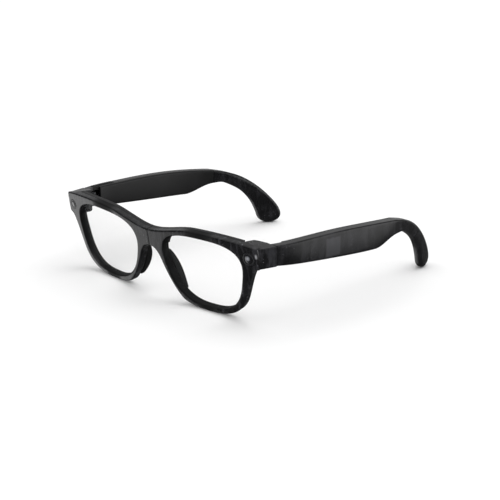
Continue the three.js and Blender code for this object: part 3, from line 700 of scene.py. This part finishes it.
woven_mesh, tree, place = start_material("woven_acoustic_mesh")
threads = [
    node(tree, "TexWave", {"Vector": place, "Scale": every(THREAD_SPACING) / math.pi},
         bands_direction=axis).outputs["Fac"]
    for axis in ("Y", "X")
]
weave = node(tree, "Math", threads, operation="MAXIMUM")
color = node(tree, "ValToRGB", [weave], [(0.4, "#060607"), (0.9, "#2C2C2E")])
normal = node(tree, "Bump", {"Height": weave, "Strength": 0.6, "Distance": 0.05 * MM})
surface(woven_mesh, {"Base Color": color, "Roughness": 0.7, "Normal": normal})

milky_guide, tree, place = start_material("milky_acrylic_light_guide")
cloud = node(tree, "TexNoise", {"Vector": place, "Scale": every(1.2), "Detail": 2.0})
color = node(tree, "ValToRGB", [cloud], [(0.3, "#D9DCDF"), (0.7, "#F2F4F5")])
surface(milky_guide, {"Base Color": color, "Roughness": 0.35, "IOR": 1.49})

# %% [markdown]
# ## Shells of the front
# The rims are cut from the plate at once, as its holes. The brow is then stepped down behind, to
# make room for the cover that closes the electronics in.

# %% Front plate with its brow step
GAP = 0.3
RIM_DEPTH = 4.4
RIM_ROUNDING = 0.8
BROW_STEP = 3.1
BROW_FOOT = 29.8
BROW_END = 60


def all_round(radius):
    return lambda point: radius


front_shell = plate("front_shell", front_outline, eyes, 0, -RIM_DEPTH, all_round(RIM_ROUNDING))
step_low = (-BROW_END - GAP, BROW_FOOT - GAP, -RIM_DEPTH - 2)
step_high = (BROW_END + GAP, PAST_TOP, -BROW_STEP)
boolean(front_shell, block(step_low, step_high), "DIFFERENCE")
strips(front_shell, -70, 70, STRIP_WIDTH)
bend(front_shell, onto_level_front)
print("front plate:", len(front_shell.data.vertices), "points")

# %% [markdown]
# The end blocks carry the hinges. Each one is a plate too, seen from above, whose top climbs a
# little towards the brow. A Boolean union moulds them to the front.

# %% End blocks
END_BLOCK_BOTTOM = 28.3
END_BLOCK_TOP = 38.2
END_BLOCK_SIDE = 69.5
END_BLOCK_REAR = 11.1
END_BLOCK_ROUNDING = 0.5
CLIMB_FROM = 4.5
CLIMB_IN_FRONT = 0.2
CLIMB_BEHIND = 0.1
HINGE_X = 65.5

side_curve = [(69.55, 1.3), (70.2, 4.5), (70.9, 8), (71.35, END_BLOCK_REAR)]
inner_curve = [(HINGE_X - 0.4, END_BLOCK_REAR), (62.1, 9.8), (60.3, 8.5), (60, 6.8)]
block_plan = bezier(side_curve, 14) + [Vector(side_curve[3])]
block_plan += bezier(inner_curve, 10) + [Vector(inner_curve[3]), Vector((60, 1.6))]


def climb(co):
    """Tilts the block's top up towards the middle, more in front than behind."""
    rearwards = max(0, min(1, (co.y - CLIMB_FROM) / (END_BLOCK_REAR - CLIMB_FROM)))
    slope = CLIMB_IN_FRONT - (CLIMB_IN_FRONT - CLIMB_BEHIND) * rearwards
    is_top = co.z > (END_BLOCK_BOTTOM + END_BLOCK_TOP) / 2
    rise = slope * max(0, END_BLOCK_SIDE - co.x) if is_top else 0
    return Vector((co.x, co.y - HALF_LENGTH, co.z + rise))


def to_the_right(co):
    return Vector((-co.x, co.y, co.z))


end_block = plate("end_block", block_plan, [], END_BLOCK_TOP, END_BLOCK_BOTTOM,
                  all_round(END_BLOCK_ROUNDING))
bend(end_block, climb)
other_block = outwards(bend(copy_of(end_block, "other_block"), to_the_right))
boolean(front_shell, end_block, "UNION")
boolean(front_shell, other_block, "UNION")
print("front with end blocks:", len(front_shell.data.polygons), "faces")

# %% [markdown]
# The hinge's front leaf is let into a pocket, open to the rear. The pocket is lower than the
# block, so it can't be a dent in the plan, and a Boolean cut makes it.

# %% Hinge pockets
HINGE_BOTTOM = 29.5
HINGE_TOP = 35.5
LEAF_INNER_HALF = 1.6
LEAF_OUTER_HALF = 1.3
LEAF_LENGTH = 3.8

rear = END_BLOCK_REAR - HALF_LENGTH

for side in (1, -1):
    near = side * (HINGE_X - LEAF_INNER_HALF - GAP)
    far = side * (HINGE_X + LEAF_OUTER_HALF + GAP)
    pocket = block((min(near, far), rear - LEAF_LENGTH, HINGE_BOTTOM - GAP),
                   (max(near, far), rear + 5, HINGE_TOP + GAP))
    boolean(front_shell, pocket, "DIFFERENCE")
print("front shell:", len(front_shell.data.polygons), "faces")

# %% [markdown]
# The camera and the capture light sit in stepped round bores. A drill that stands square to the
# wrapped front is a cylinder primitive, turned with the same angles as the front.

# %% Bores for the two modules
SEAM = 0.12
MODULE_U = 65
CAMERA_RADIUS = 3.4
CAMERA_BORE = 2.5
LIGHT_RADIUS = 2.5
LIGHT_BORE = 2
RING_SEAT = 1.2
BORE_DEPTH = 6.4


def stand_on_front(u, v, depth):
    """The matrix that stands a piece, drawn with +Z out of the face, on the front."""
    turn = Matrix.Rotation(math.pi / 2 + TILT, 4, "X") @ Matrix.Rotation(u / WRAP_RADIUS, 4, "Y")
    return Matrix.Translation(onto_front(Vector((u, v, -depth)))) @ turn


def drill(radius, depth, u, v):
    bpy.ops.object.select_all(action="DESELECT")
    bpy.ops.mesh.primitive_cylinder_add(vertices=64, radius=radius, depth=depth + 2,
                                        location=(0, 0, 1 - depth / 2))
    bpy.ops.object.transform_apply(location=True)
    tool = bpy.context.object
    tool.data.transform(stand_on_front(u, v, 0))
    return tool


for side, radius, bore in ((1, CAMERA_RADIUS, CAMERA_BORE), (-1, LIGHT_RADIUS, LIGHT_BORE)):
    boolean(front_shell, drill(radius + SEAM, RING_SEAT, side * MODULE_U, MODULE_V), "DIFFERENCE")
    boolean(front_shell, drill(bore, BORE_DEPTH, side * MODULE_U, MODULE_V), "DIFFERENCE")
finish_piece(front_shell, "front_shell", "front", polished_front, ["front_frame"])

# %% [markdown]
# The cover that closes the brow behind is the same outline again, between two other depths. Only
# the band above the eyes is kept: a Boolean intersection with a long block does that.

# %% Brow cover
BROW_DEPTH = 5.2
BROW_MARGIN = 0.2
BROW_ROUNDING = 0.25

grown_eyes = [eye_ring(1, BROW_MARGIN), eye_ring(-1, BROW_MARGIN)]
brow_cover = plate("brow_cover", front_outline, grown_eyes, -BROW_STEP - SEAM, -BROW_DEPTH,
                   all_round(BROW_ROUNDING))
boolean(brow_cover, block((-BROW_END, BROW_FOOT, PAST_BACK), (BROW_END, PAST_TOP, 0)), "INTERSECT")
strips(brow_cover, -58, 58, STRIP_WIDTH)
bend(brow_cover, onto_level_front)
finish_piece(brow_cover, "brow_cover_shell", "front", satin_brow,
             ["rear_brow_cover"])

# %% [markdown]
# Each lens is a thin plate that reaches a little into the rim, so no gap shows round it. Its
# front and back faces are 1.6 mm apart, and it is wrapped like the front.

# %% Lenses
SIDES = (("left", 1), ("right", -1))
LENS_FRONT = -1.5
LENS_BACK = -3.1
LENS_REACH = 0.5

for label, side in SIDES:
    lens = plate("lens", eye_ring(side, LENS_REACH), [], LENS_FRONT, LENS_BACK, all_round(0))
    strips(lens, -60, 60, 3)
    bend(lens, onto_front)
    finish_piece(lens, "clear_lens_" + label, "front", clear_lens,
                 ["lens_" + label])

# %% [markdown]
# A nose pad is a crescent behind the rim's inner edge. It stands deepest at half height and thins
# out to both ends, so the plate's depth is scaled with the height before it is wrapped.

# %% Nose pads
PAD_FRONT = -RIM_DEPTH - 0.05
PAD_DEPTH = 3.95
PAD_MIDDLE = 15.5
PAD_HALF_HEIGHT = 12
PAD_ROUNDING = 0.45
PAD_THINNEST = 0.2
PAD_EDGE = [
    [(6.8, 24.8), (8.9, 17.6), (12.4, 10.2), (16, 6.5)],
    [(16, 6.5), (16.9, 5.9), (17.4, 6.2), (17.4, 7.2)],
    [(17.4, 7.2), (14.2, 11.2), (11.3, 18.2), (9.2, 25.4)],
    [(9.2, 25.4), (7.9, 26.2), (7.1, 25.9), (6.8, 24.8)],
]


def bulge(co):
    share = max(PAD_THINNEST, 1 - ((co.y - PAD_MIDDLE) / PAD_HALF_HEIGHT) ** 2)
    return Vector((co.x, co.y, PAD_FRONT + (co.z - PAD_FRONT) * share))


pad_outline = bezier_path(PAD_EDGE, 0.5)[:-1]
pad = plate("pad", pad_outline, [], PAD_FRONT, PAD_FRONT - PAD_DEPTH, all_round(PAD_ROUNDING))
bend(bend(pad, bulge), onto_front)
right_pad = outwards(bend(copy_of(pad, "right_pad"), to_the_right))
finish_piece(pad, "nose_ridge_left", "front", pad_skin, ["nose_pad_left"])
finish_piece(right_pad, "nose_ridge_right", "front", pad_skin, ["nose_pad_right"])

# %% [markdown]
# ## Camera and capture light
# A ring is a low cylinder whose top is inset and pushed down, then bevelled. The window in it is
# a flattened ball, and the soft round highlight of a domed glass comes partly from its shape and
# partly from a painted highlight in its colour.

# %% Rings and windows
RING_PROUD = 0.1
RING_HEIGHT = 0.95
RING_DISH = 0.5
RING_BEVEL = 0.22
WINDOW_PLAY = 0.1
WINDOW_DOME = 0.35


def module_ring(name, radius, opening):
    bpy.ops.object.select_all(action="DESELECT")
    bpy.ops.mesh.primitive_cylinder_add(vertices=72, radius=radius, depth=RING_HEIGHT,
                                        location=(0, 0, RING_PROUD - RING_HEIGHT / 2))
    bpy.ops.object.transform_apply(location=True)
    ring = bpy.context.object
    ring.name = name
    select_vertices(ring, lambda co: co.z > 0)
    bpy.ops.mesh.inset(thickness=radius - opening)
    bpy.ops.mesh.extrude_region_move(TRANSFORM_OT_translate={"value": (0, 0, -RING_DISH)})
    bpy.ops.object.mode_set(mode="OBJECT")
    return modify(ring, "BEVEL", width=RING_BEVEL, segments=3, limit_method="ANGLE",
                  angle_limit=math.radians(50))


def module_window(radius):
    bpy.ops.object.select_all(action="DESELECT")
    bpy.ops.mesh.primitive_uv_sphere_add(segments=56, ring_count=28, radius=1)
    window = bpy.context.object
    return bend(window, lambda co: Vector((co.x * radius, co.y * radius, co.z * WINDOW_DOME)))


# Each row: name, side, ring radius, window radius, colour of the painted highlight in the middle
# and of the rim.
MODULES = (
    ("camera", 1, CAMERA_RADIUS, 2.2, "#9A9CA2", "#16171F"),
    ("indicator", -1, LIGHT_RADIUS, 1.6, "#3C3D40", "#1A1B1E"),
)
for label, side, radius, opening, painted_highlight, rim in MODULES:
    u = side * MODULE_U
    stand = stand_on_front(u, MODULE_V, 0)
    ring = module_ring(label + "_ring", radius, opening + WINDOW_PLAY)
    ring.data.transform(stand)
    finish_piece(ring, label + "_ring", "front",
                 turned_black("turned_black_aluminium_" + label, u), [label + "_bezel"])
    window = module_window(opening)
    window.data.transform(stand)
    finish_piece(window, label + "_glass", "front",
                 tinted_window("tinted_glass_" + label, u, opening, painted_highlight, rim),
                 [label + "_window"])

# %% [markdown]
# ## Temples
# A temple is drawn from the side: y runs back, z up, and the depth counts inwards from its outer
# face. The housing is straight with a long taper and steps up behind the speaker. Its bow from
# the side of the head is a formula of y.

# %% Side view of a housing
TEMPLE_FRONT = 11.4
HOUSING_END = 97
TOP_LEVEL = 38.25
TOP_FLAT_END = 40
TOP_DROP = 0.0011
BOTTOM_LEVEL = 28.4
BOTTOM_SLOPE = 0.092
BOTTOM_BOW = 0.0003
SPEAKER_END = 79
SPEAKER_STEP = 3.8
WIDEST_X = 73.6
WIDEST_Y = 64
BOW_AHEAD = 0.0003
BOW_BEHIND = 0.0029
HINGE_BOW = 0.0065
HINGE_BOW_END = 26
STATION_PITCH = 1.5


def outer_x(y):
    """How far out the temple's outer face stands."""
    bow = (BOW_AHEAD if y < WIDEST_Y else BOW_BEHIND) * (y - WIDEST_Y) ** 2
    return WIDEST_X - bow - HINGE_BOW * max(0, HINGE_BOW_END - y) ** 2


def top_at(y):
    return TOP_LEVEL - TOP_DROP * max(0, y - TOP_FLAT_END) ** 2


def bottom_at(y):
    along = min(y, SPEAKER_END) - TEMPLE_FRONT
    step = SPEAKER_STEP * smoothstep(y, SPEAKER_END, HOUSING_END)
    return BOTTOM_LEVEL - BOTTOM_SLOPE * along + BOTTOM_BOW * along ** 2 + step


def stretch(start, end, inset):
    """The housing's outline between two stations, pulled in from its edges."""
    count = max(1, round((end - start) / STATION_PITCH))
    stations = [start + (end - start) * i / count for i in range(count + 1)]
    lower = [Vector((y, bottom_at(y) + inset)) for y in stations]
    return lower + [Vector((y, top_at(y) - inset)) for y in reversed(stations)]


housing = stretch(TEMPLE_FRONT, HOUSING_END, 0)
print("housing outline:", len(housing), "points")

# %% [markdown]
# Behind the housing comes the hook for the ear, a free shape with a fat round tip. A few knots and
# a spline through them draw it. The temple's edges are rounded little at the housing and much at
# the hook.

# %% Hook and whole temple
THICKNESS = 6.6
HOUSING_ROUNDING = 0.9
HOOK_ROUNDING = 2.4
ROUNDING_CHANGE = (96, 118)
HOOK_STEPS = 7
HOOK = [
    (HOUSING_END, bottom_at(HOUSING_END)), (103, 27.1), (110, 24.3), (117.3, 19.7),
    (122.6, 13.8), (125.8, 7.6), (127.8, 2.6), (131.5, 0.12), (136.4, 0.75), (139.05, 3.8),
    (138, 8.4), (134.2, 13.8), (128.6, 19.7), (122, 25), (114.6, 29.3), (106, 32.5),
    (HOUSING_END, top_at(HOUSING_END)),
]


def spline_path(knots, per_span):
    """A smooth curve through the knots."""
    knots = [Vector(k) for k in knots]
    points = []
    for i in range(len(knots) - 1):
        before, a, b = knots[max(i - 1, 0)], knots[i], knots[i + 1]
        after = knots[min(i + 2, len(knots) - 1)]
        start, end = (b - before) / 2, (after - a) / 2
        for step in range(per_span):
            t = step / per_span
            points.append(
                (2 * a - 2 * b + start + end) * t ** 3
                + (-3 * a + 3 * b - 2 * start - end) * t * t
                + start * t
                + a
            )
    return points + [knots[-1]]


def temple_rounding(point):
    growth = smoothstep(point.x, *ROUNDING_CHANGE)
    return HOUSING_ROUNDING + (HOOK_ROUNDING - HOUSING_ROUNDING) * growth


middle = len(housing) // 2
temple_outline = housing[:middle] + spline_path(HOOK, HOOK_STEPS)[1:-1] + housing[middle:]
whole_temple = plate("whole_temple", temple_outline, [], 0, -THICKNESS, temple_rounding)
print("temple outline:", len(temple_outline), "points")

# %% [markdown]
# A temple's place follows from its side view by one rule. Its faces are crowned by a fraction of a
# millimetre, as a moulded face is, because a flat one mirrors one spot of the room and looks
# dead. The hook is thinned to its tip.

# %% Wrapping a temple
TIP_THICKNESS = 5.6
CROWN = 0.3
CROWN_END = 88
CROWN_STRIP_WIDTH = 1.5
THINNING = (108, 130)


def onto_temple(side):
    """Side view (y, z, minus the depth) to its place on the left (1) or the right (-1)."""
    def place(co):
        depth = -co.z * (1 - (1 - TIP_THICKNESS / THICKNESS) * smoothstep(co.x, *THINNING))
        top, bottom = top_at(co.x), bottom_at(co.x)
        off_middle = (2 * co.y - top - bottom) / (top - bottom)
        crown = CROWN * off_middle ** 2 * (1 - smoothstep(co.x, CROWN_END, HOUSING_END))
        depth += crown * (1 + 2 * co.z / THICKNESS)
        return Vector((side * (outer_x(co.x) - depth), co.x - HALF_LENGTH, co.y))
    return place


def settle_temple(obj, side):
    """Cuts strips across the temple and along it, for the bow and the crown, and wraps it."""
    strips(obj, 12, 138, STRIP_WIDTH)
    strips(obj, 23, 38, CROWN_STRIP_WIDTH, (0, 1, 0))
    return outwards(bend(obj, onto_temple(side)))


# %% [markdown]
# The outer shell is the whole temple with its inside milled away: the seat of the inner cover,
# the tray for the boards, room for the hinge leaf, and two sound slots in its underside. The
# right one also has the slot for the ribbed button.

# %% Outer shells
INNER_FRONT = 18.5
TRAY_DEPTH = 4.7
WALL = 1.3
SKIN = 1.4
LEAF_SEAT_TOP = 36.6
LEAF_SEAT_DEPTH = 3.2
TRAY = (28, 95.5)
LEAF_SEAT = (INNER_FRONT - 0.5, 29)
SOUND_SLOTS = ((83.6, 85.2), (86, 87.6))
BUTTON_FRONT = 14.8
BUTTON_BACK = 29.4
BUTTON_OUTER = -1.2
BUTTON_INNER = -4.7
BUTTON_PLAY = 0.15

for label, side, finish in (("left", 1, polished_left), ("right", -1, polished_right)):
    shell = copy_of(whole_temple, "temple_shell_" + label)
    cutters = [
        block((0, 0, PAST_BACK), (HOUSING_END, PAST_TOP, -TRAY_DEPTH)),
        plate("tray", stretch(*TRAY, WALL), [], -SKIN, -TRAY_DEPTH - 1, all_round(0)),
        plate("leaf_seat", stretch(*LEAF_SEAT, WALL), [], -LEAF_SEAT_DEPTH, PAST_BACK,
              all_round(0)),
        block((0, 0, PAST_BACK), (INNER_FRONT, LEAF_SEAT_TOP, -LEAF_SEAT_DEPTH)),
    ]
    for start, end in SOUND_SLOTS:
        cutters.append(block((start, 0, -3.9), (end, 29, -2.7)))
    if side < 0:
        cutters.append(block((BUTTON_FRONT - GAP, 34.8, BUTTON_INNER - BUTTON_PLAY),
                             (BUTTON_BACK + GAP, 45, BUTTON_OUTER + BUTTON_PLAY)))
    for cutter in cutters:
        boolean(shell, cutter, "DIFFERENCE")
    settle_temple(shell, side)
    finish_piece(shell, "temple_shell_" + label, label + "_temple", finish,
                 ["temple_outer_" + label])

# %% [markdown]
# The inner cover is what the intersection with a block leaves of the same whole temple, so both
# halves keep one rounded outline. It starts behind the hinge and ends in a fine seam. The left one
# has the slot in which the power slider runs.

# %% Inner covers
SLIDER_FRONT = 33
SLIDER_LENGTH = 5
SLIDER_TRAVEL = 2.4
SLIDER_LEVEL = 33
SLIDER_HALF_HEIGHT = 1.2
COVER_DEPTH = 5.5

for label, side in SIDES:
    lining = copy_of(whole_temple, "temple_lining_" + label)
    kept = block((INNER_FRONT, -5, PAST_BACK),
                 (HOUSING_END - 0.25, PAST_TOP, -TRAY_DEPTH - SEAM))
    boolean(lining, kept, "INTERSECT")
    hollow = plate("hollow", stretch(INNER_FRONT - 1, 95, WALL), [], 0, -COVER_DEPTH, all_round(0))
    boolean(lining, hollow, "DIFFERENCE")
    if side > 0:
        slot = block(
            (SLIDER_FRONT - GAP, SLIDER_LEVEL - SLIDER_HALF_HEIGHT - GAP, PAST_BACK),
            (SLIDER_FRONT + SLIDER_LENGTH + SLIDER_TRAVEL + GAP,
             SLIDER_LEVEL + SLIDER_HALF_HEIGHT + GAP, 0))
        boolean(lining, slot, "DIFFERENCE")
    settle_temple(lining, side)
    finish_piece(lining, "temple_lining_" + label, label + "_temple",
                 satin_lining, ["temple_inner_cover_" + label])
bpy.data.objects.remove(whole_temple)

# %% [markdown]
# ## Button and slider
# Both keys are a rounded bar with ribs for the finger. One rib is modelled and bevelled, and the
# others are copies of its mesh, joined to the bar.

# %% Ribbed bars
def rounded_block(low, high, radius):
    return modify(block(low, high), "BEVEL", width=radius, segments=3)


def ribbed(name, bar, rib, count, pitch):
    """Joins copies of a rib to a bar, in a row along x about the rib's own place."""
    pieces = [bar, rib]
    for i in range(1, count):
        pieces.append(copy_of(rib, name + "_rib"))
        bend(pieces[-1], lambda co: co + Vector((i * pitch, 0, 0)))
    hold(bar)
    for piece in pieces[1:]:
        piece.select_set(True)
    bpy.context.view_layer.objects.active = bar
    bpy.ops.object.join()
    return bar


# %% [markdown]
# The capture button lies in the top of the right temple. Its ten ribs stand proud of the top by a
# third of a millimetre, so that the finger finds them. It is drawn in the temple's side view and
# wrapped by the same rule, so it follows the temple's bow.

# %% Capture button
BUTTON_FOOT = 36.6
BUTTON_PROUD = 0.05
RIB_COUNT = 10
RIB_WIDTH = 0.8
RIB_PITCH = 1.4
RIB_PROUD = 0.34
RIB_INSET = 0.15

first_rib = BUTTON_FRONT + 0.6

button_bar = rounded_block((BUTTON_FRONT, BUTTON_FOOT, BUTTON_INNER),
                           (BUTTON_BACK, TOP_LEVEL + BUTTON_PROUD, BUTTON_OUTER), 0.25)
button_rib = rounded_block((first_rib, 37, BUTTON_INNER + RIB_INSET),
                           (first_rib + RIB_WIDTH, TOP_LEVEL + RIB_PROUD, BUTTON_OUTER - RIB_INSET),
                           0.2)
button = ribbed("button", button_bar, button_rib, RIB_COUNT, RIB_PITCH)
bend(button, onto_temple(-1))
finish_piece(button, "capture_bar", "capture_button", matte_key,
             ["capture_button"])

# %% [markdown]
# The power slider is a smaller bar with four ribs, on the inside of the left temple. Its ribs
# stand across its travel, so the thumb can push it.

# %% Power slider
SLIDER_RIB_COUNT = 4
SLIDER_RIB_PITCH = 1.15

slider_low = (SLIDER_FRONT, SLIDER_LEVEL - SLIDER_HALF_HEIGHT, -THICKNESS - 0.25)
slider_high = (SLIDER_FRONT + SLIDER_LENGTH, SLIDER_LEVEL + SLIDER_HALF_HEIGHT, -4.8)
slider_bar = rounded_block(slider_low, slider_high, 0.2)
slider_rib = rounded_block((SLIDER_FRONT + 0.5, SLIDER_LEVEL - 1.05, -THICKNESS - 0.48),
                           (SLIDER_FRONT + 1, SLIDER_LEVEL + 1.05, -5), 0.15)
slider = ribbed("slider", slider_bar, slider_rib, SLIDER_RIB_COUNT, SLIDER_RIB_PITCH)
bend(slider, onto_temple(1))
finish_piece(slider, "power_thumb_slide", "power_slider", matte_key,
             ["power_slider"])

# %% [markdown]
# ## Small parts
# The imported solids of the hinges, screws, boards and other inner parts have the right shape
# already, so they aren't modelled again. Each gets the finish of its real material.

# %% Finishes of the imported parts
PACKED_FINISHES = {
    black_oxide: ["hinge_front_leaf_", "hinge_temple_leaf_"],
    bare_steel: ["hinge_pin_", "leaf_screw_", "slide_switch"],
    tin_can: ["processor_shield", "bridge_microphone", "temple_microphone_"],
    gold: ["charge_contact_"],
    foil: ["battery"],
    green_board: ["camera_sensor_board", "indicator_led_board", "power_board", "main_board"],
    amber_film: ["front_flex", "touch_film"],
    black_housing: ["camera_lens_barrel", "speaker_left", "speaker_right", "capture_switch"],
    woven_mesh: ["speaker_mesh_"],
    milky_guide: ["indicator_light_guide"],
}
for finish, starts in PACKED_FINISHES.items():
    for name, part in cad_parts.items():
        if any(name.startswith(start) for start in starts) and not part.hide_render:
            part.data.materials.clear()
            part.data.materials.append(finish)
plain = [name for name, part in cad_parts.items()
         if not part.hide_render and not any(
             slot.material in PACKED_FINISHES for slot in part.material_slots)]
print("packed parts without a finish:", plain)

# %% [markdown]
# ## Studio
# The glasses stand on a plain white table, one big plane. Its laminate is dull and almost even. The
# gloss doesn't see it: what the gloss mirrors comes from the sky's panels, which are easier to
# place.

# %% Floor
bpy.ops.object.select_all(action="DESELECT")
bpy.ops.mesh.primitive_plane_add(size=6, location=(0, 0, 0))
floor = bpy.context.object
floor.name = "floor"
white_table, tree, place = start_material("white_laminate_table")
mottle = node(tree, "TexNoise", {"Vector": place, "Scale": every(125)})
color = node(tree, "ValToRGB", [mottle], [(0.3, "#F4F4F4"), (0.7, "#F7F7F7")])
surface(white_table, {"Base Color": color, "Roughness": 0.9})
floor.data.materials.append(white_table)
floor.visible_glossy = False

# %% [markdown]
# The table is lit by an even white sky. Polished black shows mostly what it mirrors, so what the
# gloss sees is set apart: a dark room with four soft panels. A low one on the wearer's right is
# what the front's face mirrors, one behind shows on the tops, one behind on the wearer's left
# shades the side of the left temple, and the last is a dim ceiling. Panels in the sky cost nothing
# and stay out of the picture, as real soft boxes would not.

# %% Sky for the table, and panels for the gloss
SKY_STRENGTH = 0.9
DARK_ROOM = 0.08
# Each row: direction, cosine where it is full, cosine where it ends, brightness.
PANELS = (
    ((-0.85, -0.26, -0.46), 1.0, 0.88, 1.15),
    ((-0.68, 0.67, 0.29), 0.95, 0.7, 0.27),
    ((0.62, 0.75, 0.12), 0.97, 0.86, 0.95),
    ((0.1, -0.2, 1), 0.9, 0.4, 0.5),
)
WHITE = linear("#FFFFFF")

world = bpy.data.worlds.new("studio")
bpy.context.scene.world = world
world.use_nodes = True
tree = world.node_tree
tree.nodes.clear()
direction = node(tree, "TexCoord").outputs["Generated"]


def panel(toward, narrow, wide, brightness):
    """A soft panel in a direction, bright within one cosine and fading out to another."""
    aim = Vector(toward).normalized()
    facing = node(tree, "VectorMath", [direction, aim], operation="DOT_PRODUCT")
    return node(tree, "MapRange", [facing, wide, narrow, 0, brightness])


seen = DARK_ROOM
for one in PANELS:
    seen = node(tree, "Math", [seen, panel(*one)], operation="ADD")
is_gloss = node(tree, "LightPath").outputs["Is Glossy Ray"]
even_sky = node(tree, "Background", {"Color": WHITE, "Strength": SKY_STRENGTH})
mirrored_sky = node(tree, "Background", {"Color": WHITE, "Strength": seen})
node(tree, "OutputWorld", [node(tree, "MixShader", [is_gloss, even_sky, mirrored_sky])])
print("sky:", len(PANELS), "panels,", len(tree.nodes), "nodes")

# %% [markdown]
# One wide light from above and behind gives the table its soft shadow, which lies in front of the
# glasses. A sun is used, because it lights the whole table evenly; an angle of 60 degrees makes it
# as soft as a big window. The gloss doesn't see it.

# %% Wide soft light
SUN_SPREAD = math.radians(60)
SUN_ENERGY = 1.2
sun_turn = (math.radians(-35), math.radians(-8), 0)

bpy.ops.object.select_all(action="DESELECT")
bpy.ops.object.light_add(type="SUN", rotation=sun_turn)
wide_light = bpy.context.object
wide_light.name = "wide_soft_light"
wide_light.data.angle = SUN_SPREAD
wide_light.data.energy = SUN_ENERGY
wide_light.visible_glossy = False
print("light:", wide_light.name, SUN_ENERGY, "W/m2")

# %% [markdown]
# The camera stands at the wearer's front left, a little above, with a long lens. Its three axes
# are worked out from two angles and turned slightly about the view, because angles can be read
# and changed, and a matrix of bare numbers can't.

# %% Camera
AZIMUTH = math.radians(45.68)
ELEVATION = math.radians(16.813)
ROLL = math.radians(0.789)
FOCAL_LENGTH = 113.88
CAMERA_PLACE = (0.559645, -0.549521, 0.246191)

back = Vector((
    math.sin(AZIMUTH) * math.cos(ELEVATION),
    -math.cos(AZIMUTH) * math.cos(ELEVATION),
    math.sin(ELEVATION),
))
right = Vector((math.cos(AZIMUTH), math.sin(AZIMUTH), 0))
up = back.cross(right)
rolled_right = right * math.cos(ROLL) + up * math.sin(ROLL)
rolled_up = up * math.cos(ROLL) - right * math.sin(ROLL)
camera_data = bpy.data.cameras.new("camera")
camera_data.lens = FOCAL_LENGTH
camera_data.sensor_width = 36
camera = bpy.data.objects.new("camera", camera_data)
bpy.context.collection.objects.link(camera)
turn = Matrix((rolled_right, rolled_up, back)).transposed().to_4x4()
camera.matrix_world = Matrix.Translation(CAMERA_PLACE) @ turn
bpy.context.scene.camera = camera
bpy.context.scene.view_settings.view_transform = "Standard"
print("camera at", CAMERA_PLACE, "m, lens", FOCAL_LENGTH, "mm")
